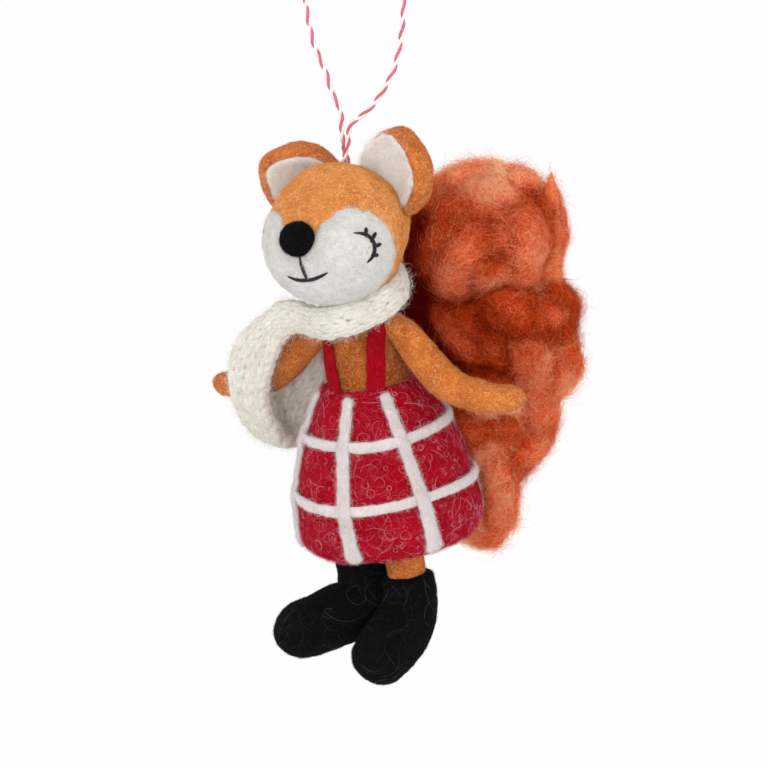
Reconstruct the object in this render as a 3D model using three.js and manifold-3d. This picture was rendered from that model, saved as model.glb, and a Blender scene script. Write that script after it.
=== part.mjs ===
// A needle-felted fox to hang up: a stuffed wool body in a checked skirt with straps, a knitted scarf,
// boots and a big tail of loose wool locks, on a loop of two-ply twine.
// Millimetres, +Z up. The fox faces -Y and its left is +X. The origin is inside the top of the loop.
import * as THREE from 'three';
import { mergeVertices } from 'three/addons/utils/BufferGeometryUtils.js';
import Module from 'manifold-3d';

const wasm = await Module();
wasm.setup();

// Gap left between pieces that are felted or sewn against each other
const SEAT = 0.3;
const FACET_ROOM = 0.25; // further room over a round face made of flats

// Twine: one length, doubled into a loop, whose ends twist together and go into the crown
const TWINE_DIAMETER = 1.3;
const STEM_HEIGHT = 6.8; // crown to the point where the strands part, which the figure swings about
const STEM_TURN = 200; // degrees that the two strands twist round each other
const STRAND_PRESS = 0.03; // that each strand of the stem is pressed flat
const STITCH_HOLE_DEPTH = 1.6;
const STRAND_SPACING = 2; // between the two strands where they part
const LOOP_TURN = 30; // degrees from the fox's side-to-side plane to the plane of the loop
// Route of the loop in its plane: across, and up from the point where the strands part
const LOOP_ROUTE = [
  [-0.9, 3.1], [-0.9, 4.4], [-1.4, 6.9], [-2.8, 9.7], [-4.6, 15.4], [-7, 21.1], [-8.3, 26.8], [-9, 32.4],
  [-7.4, 38.1], [-3.2, 42], [2.1, 43.4], [7.3, 42.1], [11.6, 38], [13.2, 32.4], [13.2, 26.8], [12.5, 21.1],
  [11.1, 15.4], [8.1, 9.7], [6, 6.9], [3.3, 4.4], [1.4, 3],
];

// The figure leans in its loop, about a level line turned from its front toward its left
const LEAN = 8.5; // degrees
const LEAN_LINE_TURN = 30; // degrees
const CROWN_SETBACK = 4; // from the body's axis back to where the twine goes in

// Head: an egg with a flattened brow; heights are below the crown
const HEAD_WIDTH = 33;
const HEAD_LENGTH = 34.6;
const HEAD_HEIGHT = 32;
const HEAD_FORWARD = 4.3; // from the body's axis to the middle of the head
const BROW_FLATNESS = 0.07; // share of the radius that the brow is drawn in
const MASK_THICKNESS = 2.2;
const CHEEK_RADII = [11, 11.4, 12.5];
const CHEEK_SPREAD = 11; // from the middle of the face to the middle of a cheek
const CHEEK_FORWARD = 10.7; // from the middle of the head
const CHEEK_DROP = 4.4; // below the middle of the head
const CHIN_RADII = [14, 10, 12];
const CHIN_FORWARD = 9.5;
const CHIN_DROP = 8.6;
const NOSE_DIAMETER = 8.3;
const NOSE_RISE = 3.2; // above the middle of the head
const NOSE_LIFT = 1; // from the face to the middle of the nose
const STITCH_DIAMETER = 0.8;
const EYE_SETBACKS = { left: 0, right: 9 }; // degrees that an eye sits further round the cheek
// Stitches by their angles on the head, in degrees: round from the front, and above level
const MOUTH_LINE = [[0, -6], [0, -13], [0, -23]];
const SMILE = [[-19, -20], [-9, -23], [1, -23.2], [10, -21.5], [20, -17.5]];
const EYE_LID = [[46, 11], [56, 7], [60.5, -1], [59, -10], [53, -15.5]];
const EYE_LASHES = [
  [[55, 5], [58, 14]],
  [[57.5, 0.5], [66, 8]],
  [[59, -3.5], [68.5, -2.5]],
  [[57, -9.5], [65, -11.5]],
];

// Ears: cupped felt, lined in white
const EAR_WIDTH = 19;
const EAR_DEPTH = 10;
const EAR_HEIGHT = 21;
const EAR_TAPER = 0.3; // share of its width that an ear loses at the tip
const EAR_WALL = 1.8;
const LINING_THICKNESS = 1.1;
// Middle of an ear from the middle of the head, as shares of the head's half width, length and height
const EAR_SPREADS = { left: 0.82, right: 0.79 };
const EAR_SETBACK = 0.55;
const EAR_RISES = { left: 0.75, right: 0.68 };
const EAR_TILTS = { left: 12, right: 50 }; // degrees outward
const EAR_TURNS = { left: -18, right: 0 }; // degrees that the cup turns about itself, to the left
const EAR_NODS = { left: 0, right: 25 }; // degrees that the tip leans forward

// Body: a pear whose hips fill the skirt; levels are below the crown
const NECK_RADIUS = 6.2;
const CHEST_OUTLINE = [[NECK_RADIUS, 32], [6.7, 34.5], [8.2, 38], [9.2, 43]]; // radius and level
const WAIST_LEVEL = 51;
const WAIST_RADIUS = 11.3; // outside of the skirt there
const HEM_LEVEL = 89.4;
const SKIRT_RADIUS = 21.6; // at the widest
const SKIRT_WALL = 2.4;
const HEM_ROUNDING = 4.2;
const BELL_POWER = 0.85; // lower swells sooner below the waist

// Straps, and the white wool check of the skirt
const STRAP_TURN = 8; // degrees that the straps sit turned toward the fox's left
const STRAP_WIDTH = 4;
const STRAP_THICKNESS = 1;
const STRAP_SPREAD = 28; // degrees each side at the waist
// Front half of a strap, waist to shoulder: degrees round from its foot, and level; the back half mirrors it
const STRAP_CLIMB = [[0, 50], [6, 46], [14, 39.5], [34, 35.6], [63, 33.6]];
const RING_LEVELS = [61.6, 75.6];
const RING_WIDTH = 2.5;
const UPRIGHT_WIDTH = 3.4;
const CHECK_THICKNESS = 0.8;
const CHECK_BEVEL = 0.3;
const CHECK_RAMP = 1.4; // over which an upright climbs onto a ring
const UPRIGHT_DROP = 0.4; // from the waist to the top of an upright
const UPRIGHT_HEM_SHARE = 0.5; // of the hem's rounding that an upright leaves bare
const UPRIGHT_ANGLES = [-58, 0, 53, 140, 196, 249]; // degrees from the front, laid by eye

// Limbs; each is a bent, swelling roll of felt
const ARM_RADIUS = 4; // at the thick of the forearm
const ARM_SWELL = [0.75, 0.9, 1, 0.92, 0.62]; // shoulder to tip, as shares of that radius
const ARM_REACHES = { left: 40, right: 44 }; // from the axis to the tip
// Middle line of an arm from shoulder to tip: shares of its reach, distances back, and levels
const ARM_SHARES = [0.09, 0.235, 0.37, 0.54, 0.79, 1];
const ARM_SETBACKS = [0.5, 0.2, -0.5, -0.5, 0, 0.5];
const ARM_LEVELS = { left: [36, 38, 43.8, 51.6, 55, 55], right: [36, 38, 41.6, 47.6, 51.4, 51.6] };
const LEG_RADIUS = 4.4;
const LEG_SPREAD = 6.3; // from the middle of the stance to a leg
const STANCE_FORWARD = 5;
const STANCE_ASIDE = 1.2; // toward the fox's right
const BOOT_RADIUS = 6.6;
const BOOT_SWELL = [0.9, 1, 1.12, 1.06, 0.95]; // top to toe, as shares of that radius
const BOOT_TOPS = { left: 96.2, right: 91.4 }; // level of each boot's upper edge
const SOCKET_DEPTH = 3; // of the leg in its boot
// Middle line of each boot from its upper edge: to the left, back, and down
const BOOT_ROUTES = {
  left: [[0, 0, 0], [0, -0.3, 6], [-0.8, -2.8, 11.5], [-2.4, -10.5, 15.6], [-4, -18.5, 19]],
  right: [[0, 0, 0], [0.6, 0.4, 6], [0.2, -1.8, 11.8], [-6.6, -10.8, 14.4], [-13.6, -20, 15]],
};

// Scarf: a flat knitted band
const SCARF_WIDTH = 7.4;
const SCARF_THICKNESS = 4;
const SCARF_SPREAD = 0.5; // share that the band widens where it hangs loose
const SCARF_ANGLES = [-118, -386]; // degrees from the front, at its tucked end and where it leaves the neck
const SCARF_SLACK = 0.4; // off the straps
const SCARF_SWING = 1.6; // further off the neck at its lowest
const SCARF_LOWEST = -30; // degrees from the front
const SLUNG_SHARES = [0.42, 0.6]; // of its length, between which it turns from the neck to the arm
const TIP_SHARES = [0.7, 0.93]; // between which it turns under the arm and up behind it
const TIP_TURNS = [20, 165]; // degrees from facing forward, before and after that
const SLUNG_ASIDE = -0.35; // how far the slung band faces to the right, beside 1 forward
const SCARF_LEVEL = 27.8; // middle of the band where it is highest, behind the left shoulder
const SCARF_SAG = 6.2; // from there to its lowest, below the right cheek
// Middle line of the end that is slung over the right forearm, from the neck to the tip
const SCARF_END_ROUTE = [
  [-10.4, -9.4, -32.4], [-15, -8.8, -33], [-20.6, -8.6, -37.2], [-26, -8, -43], [-29, -7.2, -49.5],
  [-30.2, -4.4, -57.5], [-30.2, 1.2, -64.2], [-29.6, 7, -65], [-29, 10.6, -60], [-27.8, 11.2, -53],
  [-25.6, 11, -47],
];

// Tail: locks of loose wool round a felted core
const TAIL_CORE_RADIUS = 2.2;
const TAIL_CORE_TAPER = [1, 1, 0.9, 0.6]; // root to tip, as shares of that radius
const TAIL_CORE_ROUTE = [
  [4, 14, -71], [5.5, 20, -71], [11, 25.5, -67], [22, 31, -58],
  [30, 33, -46], [34.4, 32.4, -32], [37.4, 33.2, -11],
];
// Each lock: its middle and its three radii; larger locks come first and cut the rest
const TAIL_LOCKS = [
  [[18.5, 31, -21.4], [19, 17, 15.3]],
  [[19, 33, -47], [17, 18, 15]],
  [[16, 29.5, -70], [14.5, 15, 14]],
  [[29, 33.5, -44], [9, 10, 8.5]],
  [[28, 33.5, -57], [9, 10, 8]],
  [[10.5, 25.5, -89.5], [8.5, 8, 12]],
  [[1, 34.5, -36], [11, 11, 14]],
  [[9, 40, -60], [10, 11, 11]],
  [[13.6, 31, -82], [8, 8.5, 8]],
];

const TURN = Math.PI / 180;
const SIDES = { left: 1, right: -1 };
const vector = (x, y, z) => new THREE.Vector3(x, y, z);

// The geometry with shared points merged and its faces turned outward.
function outward(geometry) {
  const bare = geometry.clone();
  bare.deleteAttribute('normal');
  bare.deleteAttribute('uv');
  const merged = mergeVertices(bare, 1e-5);
  const points = merged.getAttribute('position');
  const index = merged.index.array;
  const corner = [vector(0, 0, 0), vector(0, 0, 0), vector(0, 0, 0)];
  let volume = 0;
  for (let i = 0; i < index.length; i += 3) {
    corner.forEach((point, k) => point.fromBufferAttribute(points, index[i + k]));
    volume += corner[0].dot(corner[1].clone().cross(corner[2]));
  }
  if (volume < 0) index.reverse();
  return merged;
}

// Cutting and joining
function solid(geometry) {
  const closed = outward(geometry);
  const vertProperties = Float32Array.from(closed.getAttribute('position').array);
  const triVerts = Uint32Array.from(closed.index.array);
  return new wasm.Manifold(new wasm.Mesh({ numProp: 3, vertProperties, triVerts }));
}

function shell(manifold) {
  const { vertProperties, triVerts } = manifold.getMesh();
  const geometry = new THREE.BufferGeometry();
  geometry.setAttribute('position', new THREE.BufferAttribute(vertProperties, 3));
  geometry.setIndex(new THREE.BufferAttribute(triVerts, 1));
  return geometry;
}

function cut(geometry, ...tools) {
  return shell(tools.reduce((body, tool) => body.subtract(solid(tool)), solid(geometry)));
}

function join(geometry, ...others) {
  return shell(others.reduce((body, other) => body.add(solid(other)), solid(geometry)));
}

function common(geometry, other) {
  return shell(solid(geometry).intersect(solid(other)));
}

// A sphere with its poles at top and bottom, each point moved to where the form has it.
function blob(form, around = 18, down = 12) {
  const geometry = new THREE.SphereGeometry(1, around, down).rotateX(Math.PI / 2);
  const points = geometry.getAttribute('position');
  const direction = vector(0, 0, 0);
  for (let i = 0; i < points.count; i += 1) {
    direction.fromBufferAttribute(points, i);
    points.setXYZ(i, ...form(direction).toArray());
  }
  return geometry;
}

function ellipsoid(centre, radii, grow = 0, around = 18, down = 12) {
  const reach = vector(...radii).addScalar(grow);
  return blob((direction) => direction.clone().multiply(reach).add(centre), around, down);
}

// A closed solid from a point, through rings of points, to a point.
function loft(start, rings, end) {
  const sides = rings[0].length;
  const last = 1 + rings.length * sides;
  const index = [];
  for (let side = 0; side < sides; side += 1) {
    const next = (side + 1) % sides;
    index.push(0, 1 + side, 1 + next);
    for (let ring = 0; ring < rings.length - 1; ring += 1) {
      const a = 1 + ring * sides;
      const b = a + sides;
      index.push(a + side, b + side, a + next, a + next, b + side, b + next);
    }
    index.push(last, last - sides + next, last - sides + side);
  }
  const geometry = new THREE.BufferGeometry().setFromPoints([start, ...rings.flat(), end]);
  geometry.setIndex(index);
  return outward(geometry);
}

// A closed solid along a smooth path. sizeAt gives half the width and half the thickness at a share of
// the path, and outAt the way that the thickness points. Both ends close in a point.
function sweep(path, sizeAt, outAt, { steps = 12, sides = 10, square = 1, grow = 0 } = {}) {
  const curve = new THREE.CatmullRomCurve3(path, false, 'centripetal');
  const first = curve.getPointAt(0).addScaledVector(curve.getTangentAt(0), -grow);
  const last = curve.getPointAt(1).addScaledVector(curve.getTangentAt(1), grow);
  const bulge = (value) => Math.sign(value) * Math.abs(value) ** square;
  const rings = [];
  for (let step = 1; step < steps; step += 1) {
    const share = (1 - Math.cos((Math.PI * step) / steps)) / 2;
    const centre = curve.getPointAt(share);
    const tangent = curve.getTangentAt(share);
    const across = tangent.clone().cross(outAt(share, centre)).normalize();
    const out = across.clone().cross(tangent);
    const [halfWidth, halfThickness] = sizeAt(share);
    const ring = [];
    for (let side = 0; side < sides; side += 1) {
      const angle = (2 * Math.PI * side) / sides;
      const point = centre.clone();
      point.addScaledVector(across, (halfWidth + grow) * bulge(Math.cos(angle)));
      point.addScaledVector(out, (halfThickness + grow) * bulge(Math.sin(angle)));
      ring.push(point);
    }
    rings.push(ring);
  }
  return loft(first, rings, last);
}

// Size along a roll that closes in a dome over a share of each end.
function domeAt(share, { start, end }) {
  const short = Math.min(share / start, (1 - share) / end, 1);
  return Math.sqrt(1 - (1 - short) ** 2);
}

// Half sizes along a limb with the radii in even steps.
function domed(radii, domes) {
  return (share) => {
    const place = share * (radii.length - 1);
    const index = Math.min(Math.floor(place), radii.length - 2);
    const radius = THREE.MathUtils.lerp(radii[index], radii[index + 1], place - index);
    const size = radius * domeAt(share, domes);
    return [size, size];
  };
}

// A turned solid from radius and height pairs.
function turned(profile, sides = 28) {
  const outline = profile.map(([radius, height]) => new THREE.Vector2(radius, height));
  return outward(new THREE.LatheGeometry(outline, sides).rotateX(Math.PI / 2));
}

// The place on a circle round the body's axis, with the angle measured from the front to the left.
function round(angle, radius, height) {
  return vector(radius * Math.sin(angle * TURN), -radius * Math.cos(angle * TURN), height);
}

// Head
const crownShare = (HEAD_FORWARD + CROWN_SETBACK) / (HEAD_LENGTH / 2);
const headMiddle = vector(0, -HEAD_FORWARD, (-HEAD_HEIGHT / 2) * Math.sqrt(1 - crownShare ** 2));

function onHead(direction, lift) {
  const brow = 1 - BROW_FLATNESS * Math.max(0, -4 * direction.y * direction.z);
  return vector(
    direction.x * (HEAD_WIDTH / 2 + lift),
    direction.y * (HEAD_LENGTH / 2 + lift),
    direction.z * (HEAD_HEIGHT / 2 + lift),
  ).multiplyScalar(brow).add(headMiddle);
}

const headForm = (lift) => blob((direction) => onHead(direction, lift), 22, 15);

// A place on the head by its angle from the front to the left and its angle above level.
function faceAt(aside, above, lift) {
  const direction = round(aside, Math.cos(above * TURN), Math.sin(above * TURN));
  return onHead(direction, lift);
}

function maskRegion(grow) {
  const lobe = (offset, radii) => ellipsoid(headMiddle.clone().add(offset), radii, grow, 14, 10);
  const cheek = (side) => lobe(vector(side * CHEEK_SPREAD, -CHEEK_FORWARD, -CHEEK_DROP), CHEEK_RADII);
  const chin = lobe(vector(0, -CHIN_FORWARD, -CHIN_DROP), CHIN_RADII);
  return join(chin, cheek(1), cheek(-1));
}

const crown = vector(0, CROWN_SETBACK, 0);
const leanLine = vector(Math.sin(LEAN_LINE_TURN * TURN), -Math.cos(LEAN_LINE_TURN * TURN), 0);
const lean = new THREE.Quaternion().setFromAxisAngle(leanLine, LEAN * TURN);

const stemRadius = TWINE_DIAMETER - STRAND_PRESS;

// The hole that the twine goes in by stands upright when the figure leans.
function stitchHole() {
  const radius = stemRadius + SEAT;
  const outline = [
    [0, -STITCH_HOLE_DEPTH], [radius, -STITCH_HOLE_DEPTH], [radius, STEM_HEIGHT], [0, STEM_HEIGHT],
  ];
  const hole = turned(outline, 16);
  return hole.applyQuaternion(lean.clone().invert()).translate(...crown.toArray());
}

const headOuter = cut(headForm(0), maskRegion(SEAT));
const head = cut(join(headOuter, headForm(-MASK_THICKNESS - SEAT)), stitchHole());
const faceMask = cut(common(headForm(0), maskRegion(0)), headForm(-MASK_THICKNESS));

const noseAngle = Math.asin(NOSE_RISE / (HEAD_HEIGHT / 2)) / TURN;
const noseBall = ellipsoid(faceAt(0, noseAngle, NOSE_LIFT), Array(3).fill(NOSE_DIAMETER / 2), 0, 14, 10);
const nose = cut(noseBall, headForm(SEAT));

// Embroidery: each stitch lies on the mask as a short roll of thread.
function stitch(angles) {
  const path = angles.map(([aside, above]) => faceAt(aside, above, STITCH_DIAMETER / 2 + SEAT));
  const size = domed([STITCH_DIAMETER / 2, STITCH_DIAMETER / 2], { start: 0.12, end: 0.12 });
  return sweep(path, size, (share, centre) => centre.clone().sub(headMiddle), { steps: 6, sides: 5 });
}

const mouth = join(stitch(MOUTH_LINE), stitch(SMILE));

function eye(side, setback) {
  const turn = (angles) => angles.map(([aside, above]) => [side * (aside + setback), above]);
  const lashes = EYE_LASHES.map((lash) => stitch(turn(lash)));
  return join(stitch(turn(EYE_LID)), ...lashes);
}

// Ears
function ear(name) {
  const side = SIDES[name];
  const [nod, lean, turn] = [EAR_NODS[name], side * EAR_TILTS[name], EAR_TURNS[name]];
  const tilt = new THREE.Euler(nod * TURN, lean * TURN, turn * TURN, 'YZX');
  const foot = vector(
    (side * EAR_SPREADS[name] * HEAD_WIDTH) / 2,
    (EAR_SETBACK * HEAD_LENGTH) / 2,
    (EAR_RISES[name] * HEAD_HEIGHT) / 2,
  ).add(headMiddle);
  const form = (inset, forward) => blob((n) => {
    const taper = 1 - EAR_TAPER * Math.max(0, n.z) ** 2;
    const point = vector(
      n.x * (EAR_WIDTH / 2 - inset) * taper,
      n.y * (EAR_DEPTH / 2 - inset) - forward,
      n.z * (EAR_HEIGHT / 2 - inset),
    );
    return point.applyEuler(tilt).add(foot);
  }, 12, 9);
  const hollow = EAR_DEPTH / 2;
  const whole = form(0, 0);
  const cup = cut(whole, form(EAR_WALL, hollow - EAR_WALL), headForm(SEAT));
  const inset = EAR_WALL + SEAT;
  const skin = cut(form(inset, hollow - EAR_WALL), form(inset + LINING_THICKNESS, hollow), headForm(SEAT));
  return { cup, lining: common(skin, whole) };
}

// Skirt: radius outside at a height, from a bell that swells from the waist and rounds in at the hem.
function skirtRadius(height) {
  const drop = (-WAIST_LEVEL - height) / (HEM_LEVEL - WAIST_LEVEL - HEM_ROUNDING);
  const share = THREE.MathUtils.clamp(drop, 0, 1);
  return WAIST_RADIUS + (SKIRT_RADIUS - WAIST_RADIUS) * Math.sin((share * Math.PI) / 2) ** BELL_POWER;
}

function skirtOutline(inset) {
  const steps = 6;
  const bottom = -HEM_LEVEL + HEM_ROUNDING;
  const outline = [];
  for (let step = 0; step <= steps; step += 1) {
    const height = THREE.MathUtils.lerp(-WAIST_LEVEL, bottom, step / steps);
    outline.push([skirtRadius(height) - inset, height]);
  }
  for (const angle of [30, 60, 90]) {
    const rounding = HEM_ROUNDING - inset;
    outline.push([
      SKIRT_RADIUS - HEM_ROUNDING + rounding * Math.cos(angle * TURN),
      bottom - rounding * Math.sin(angle * TURN),
    ]);
  }
  return outline;
}

const skirtSides = 28;
const skirtInside = skirtOutline(SKIRT_WALL).reverse();
const skirt = turned([...skirtOutline(0), ...skirtInside, skirtOutline(0)[0]], skirtSides);

// Body: neck and chest, then the inside of the skirt less the seat.
const neckTop = headMiddle.z;

function chestOutline(grow) {
  const waist = [WAIST_RADIUS - SKIRT_WALL - SEAT, WAIST_LEVEL];
  const outline = [[NECK_RADIUS, -neckTop], ...CHEST_OUTLINE, waist];
  return outline.map(([radius, level]) => [radius + grow, -level]);
}

function bodyForm() {
  const hips = skirtOutline(SKIRT_WALL + SEAT).slice(1);
  const base = hips.at(-1)[1];
  const pear = turned([[0, neckTop], ...chestOutline(0), ...hips, [0, base]], skirtSides);
  return cut(pear, headForm(SEAT));
}

// Radius of the bare body at a height, where straps and scarf lie on it
function bodyRadius(height) {
  const outline = chestOutline(0);
  const below = Math.max(1, outline.findIndex(([, level]) => level <= height));
  const [upper, lower] = [outline[below - 1], outline[below]];
  return THREE.MathUtils.mapLinear(height, upper[1], lower[1], upper[0], lower[0]);
}

const axisOut = (share, centre) => vector(centre.x, centre.y, 0);

// A strap runs from the waist up the chest, over the shoulder beside the neck, and down the back.
function strap(side, grow = 0, inward = 0) {
  const top = STRAP_CLIMB.at(-1)[0];
  const behind = STRAP_CLIMB.slice(0, -1).reverse().map(([angle, level]) => [2 * top - angle, level]);
  const lift = SEAT + FACET_ROOM + (STRAP_THICKNESS - inward) / 2;
  const path = [...STRAP_CLIMB, ...behind].map(([angle, level]) =>
    round(STRAP_TURN + side * (STRAP_SPREAD + angle), bodyRadius(-level) + lift, -level));
  const size = () => [STRAP_WIDTH / 2, (STRAP_THICKNESS + inward) / 2];
  return sweep(path, size, axisOut, { steps: 20, sides: 8, square: 0.6, grow });
}

// Check: rings lie on the skirt, and uprights lie over skirt and rings.
function ring(level) {
  const half = RING_WIDTH / 2;
  const face = (lift, heights) => heights.map((height) => [skirtRadius(height) + lift, height]);
  const inner = face(SEAT, [half - level, -level, -half - level]);
  const bevelled = half - CHECK_BEVEL;
  const outer = face(SEAT + CHECK_THICKNESS, [-bevelled - level, -level, bevelled - level]);
  return turned([...inner, ...outer, inner[0]], skirtSides);
}

function upright(angle) {
  const top = -WAIST_LEVEL - UPRIGHT_DROP;
  const base = -HEM_LEVEL + HEM_ROUNDING * UPRIGHT_HEM_SHARE;
  const steps = 16;
  const reach = RING_WIDTH / 2 + CHECK_RAMP; // from a ring's middle to where the ramp ends
  const path = [];
  for (let step = 0; step <= steps; step += 1) {
    const height = THREE.MathUtils.lerp(top, base, step / steps);
    const near = Math.min(...RING_LEVELS.map((level) => Math.abs(height + level)));
    const rise = (CHECK_THICKNESS + SEAT) * THREE.MathUtils.smoothstep(reach - near, 0, CHECK_RAMP);
    const hem = Math.max(0, -HEM_LEVEL + HEM_ROUNDING - height);
    const drawIn = HEM_ROUNDING - Math.sqrt(HEM_ROUNDING ** 2 - hem ** 2);
    const lift = SEAT + FACET_ROOM + CHECK_THICKNESS / 2 + rise;
    path.push(round(angle, skirtRadius(height) - drawIn + lift, height));
  }
  const size = () => [UPRIGHT_WIDTH / 2, CHECK_THICKNESS / 2];
  const strip = sweep(path, size, axisOut, { steps, sides: 6, square: 0.6 });
  return cut(strip, skirtRoom(), ...RING_LEVELS.map(ringRoom));
}

// The skirt and a ring with the seat around them, to cut what lies on them
function skirtRoom(gap = SEAT) {
  const outline = [[0, -WAIST_LEVEL + gap - SEAT], ...skirtOutline(-gap), [0, -HEM_LEVEL - gap]];
  return turned(outline, skirtSides);
}

function ringRoom(level) {
  const half = RING_WIDTH / 2 + SEAT;
  const lift = SEAT + CHECK_THICKNESS + SEAT;
  const face = [-half - level, -level, half - level].map((height) => [skirtRadius(height) + lift, height]);
  return turned([[0, -half - level], ...face, [0, half - level]], skirtSides);
}

// Limbs
const sideways = () => vector(0, 1, 0);

function arm(name, grow = 0) {
  const path = ARM_SHARES.map((share, i) =>
    vector(SIDES[name] * share * ARM_REACHES[name], ARM_SETBACKS[i], -ARM_LEVELS[name][i]));
  const size = domed(ARM_SWELL.map((swell) => swell * ARM_RADIUS), { start: 0.08, end: 0.09 });
  return sweep(path, size, sideways, { steps: 14, sides: 12, grow });
}

const legPlace = (name) => vector(SIDES[name] * LEG_SPREAD - STANCE_ASIDE, -STANCE_FORWARD, 0);

function leg(name, grow = 0) {
  const top = HEM_LEVEL - HEM_ROUNDING;
  const foot = BOOT_TOPS[name] + SOCKET_DEPTH;
  const path = [top, (top + foot) / 2, foot].map((level) => legPlace(name).setZ(-level));
  return sweep(path, () => [LEG_RADIUS, LEG_RADIUS], sideways, { steps: 6, sides: 14, grow });
}

// A boot is a rolled sock of felt: the shaft bends into a foot that points forward and down.
function boot(name, grow = 0) {
  const top = legPlace(name).setZ(-BOOT_TOPS[name]);
  const path = BOOT_ROUTES[name].map(([x, y, drop]) => vector(x, y, -drop).add(top));
  const size = domed(BOOT_SWELL.map((swell) => swell * BOOT_RADIUS), { start: 0.03, end: 0.2 });
  return sweep(path, size, () => vector(1, 0, 0), { steps: 14, sides: 14, grow });
}

// Scarf: round the neck from its tucked end, across the chest, then slung over the right forearm.
function scarfPath() {
  const radius = NECK_RADIUS + SEAT + STRAP_THICKNESS + SEAT + SCARF_SLACK + SCARF_THICKNESS / 2;
  const steps = 8;
  const path = [];
  for (let step = 0; step <= steps; step += 1) {
    const angle = THREE.MathUtils.lerp(...SCARF_ANGLES, step / steps);
    const low = (1 + Math.cos((angle - SCARF_LOWEST) * TURN)) / 2;
    path.push(round(angle, radius + SCARF_SWING * low, -SCARF_LEVEL - SCARF_SAG * low));
  }
  return [...path, ...SCARF_END_ROUTE.map((place) => vector(...place))];
}

function scarfOut(share, centre) {
  const slung = THREE.MathUtils.smoothstep(share, ...SLUNG_SHARES);
  const turn = THREE.MathUtils.lerp(...TIP_TURNS, THREE.MathUtils.smoothstep(share, ...TIP_SHARES)) * TURN;
  const face = vector(centre.x, centre.y, 0).normalize();
  return face.lerp(vector(SLUNG_ASIDE, -Math.cos(turn), -Math.sin(turn)), slung).normalize();
}

function scarfSize(share) {
  const slung = THREE.MathUtils.smoothstep(share, ...SLUNG_SHARES);
  const halfWidth = (SCARF_WIDTH / 2) * (1 + SCARF_SPREAD * slung);
  const dome = domeAt(share, { start: 0.03, end: 0.05 });
  return [halfWidth * dome, (SCARF_THICKNESS / 2) * dome];
}

// Tail
function tailCore(grow = 0) {
  const path = TAIL_CORE_ROUTE.map((place) => vector(...place));
  const size = domed(TAIL_CORE_TAPER.map((taper) => taper * TAIL_CORE_RADIUS), { start: 0.05, end: 0.06 });
  return sweep(path, size, sideways, { steps: 16, sides: 8, grow });
}

const lockForm = ([centre, radii], grow) => ellipsoid(vector(...centre), radii, grow, 13, 9);

// Twine
const part = new THREE.Group();
const across = vector(Math.cos(LOOP_TURN * TURN), Math.sin(LOOP_TURN * TURN), 0);
const loopTop = LOOP_ROUTE.reduce((best, point) => (point[1] > best[1] ? point : best));
const hanger = new THREE.Group();
hanger.position.copy(across.clone().multiplyScalar(-loopTop[0]));
hanger.position.z = TWINE_DIAMETER / 2 - loopTop[1];

function twineLoop() {
  const parting = stemRadius + SEAT;
  const ends = [[-STRAND_SPACING / 2, parting], ...LOOP_ROUTE, [STRAND_SPACING / 2, parting]];
  const route = ends.map(([aside, height]) => across.clone().multiplyScalar(aside).setZ(height));
  const strand = new THREE.Shape();
  strand.absarc(0, 0, TWINE_DIAMETER / 2, 0, 2 * Math.PI);
  const extrudePath = new THREE.CatmullRomCurve3(route, false, 'centripetal');
  return outward(new THREE.ExtrudeGeometry(strand, { steps: 52, curveSegments: 4, extrudePath }));
}

// The stem: two strands side by side that twist, with a round top at the point they swing about.
function twineStem() {
  const sides = 12;
  const steps = 10;
  const bottom = -STEM_HEIGHT - STITCH_HOLE_DEPTH + SEAT;
  const levels = [];
  for (let step = 0; step <= steps; step += 1) {
    levels.push([THREE.MathUtils.lerp(bottom, 0, step / steps), 1]);
  }
  for (const angle of [25, 50, 75]) {
    levels.push([stemRadius * Math.sin(angle * TURN), Math.cos(angle * TURN)]);
  }
  const strand = TWINE_DIAMETER / 2;
  const offset = stemRadius - strand;
  const rings = levels.map(([height, size]) => {
    const twist = (STEM_TURN * TURN * height) / (STEM_HEIGHT + STITCH_HOLE_DEPTH);
    const ring = [];
    for (let side = 0; side < sides; side += 1) {
      const angle = (2 * Math.PI * side) / sides;
      const bulge = offset * Math.abs(Math.cos(angle));
      const radius = size * (bulge + Math.sqrt(strand ** 2 - (offset * Math.sin(angle)) ** 2));
      ring.push(vector(radius * Math.cos(angle + twist), radius * Math.sin(angle + twist), height));
    }
    return ring;
  });
  return loft(vector(0, 0, bottom), rings, vector(0, 0, stemRadius));
}

// Felt and wool, as seen in soft light
const felt = (color) => new THREE.MeshStandardMaterial({ color, roughness: 0.95, metalness: 0 });
const ORANGE = 0xcc7a2a;
const WHITE = 0xe6e4e0;
const BLACK = 0x17171a;
const RED = 0xb40d2c;
const STRAP_RED = 0xa0081e;
const RUST = 0xb9512a;
const CREAM = 0xe1dcd0;
const TWINE_PINK = 0xd96a7c;

function add(group, name, geometry, color) {
  const mesh = new THREE.Mesh(geometry, felt(color));
  mesh.name = name;
  group.add(mesh);
}

add(hanger, 'twine_loop', twineLoop(), TWINE_PINK);
add(hanger, 'twine_stem', twineStem(), TWINE_PINK);

// Figure: its own group stands upright, and the group round it leans about the crown.
const figure = new THREE.Group();
figure.position.copy(crown).negate();
const leaning = new THREE.Group();
leaning.position.copy(hanger.position);
leaning.position.z -= STEM_HEIGHT;
leaning.quaternion.copy(lean);
leaning.add(figure);
part.add(hanger, leaning);

add(figure, 'head', head, ORANGE);
add(figure, 'face_mask', faceMask, WHITE);
add(figure, 'nose', nose, BLACK);
add(figure, 'mouth_stitch', mouth, BLACK);
for (const [name, side] of Object.entries(SIDES)) {
  add(figure, `eye_stitch_${name}`, eye(side, EYE_SETBACKS[name]), BLACK);
  const { cup, lining } = ear(name);
  add(figure, `ear_${name}`, cup, ORANGE);
  add(figure, `ear_lining_${name}`, lining, WHITE);
}

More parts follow.
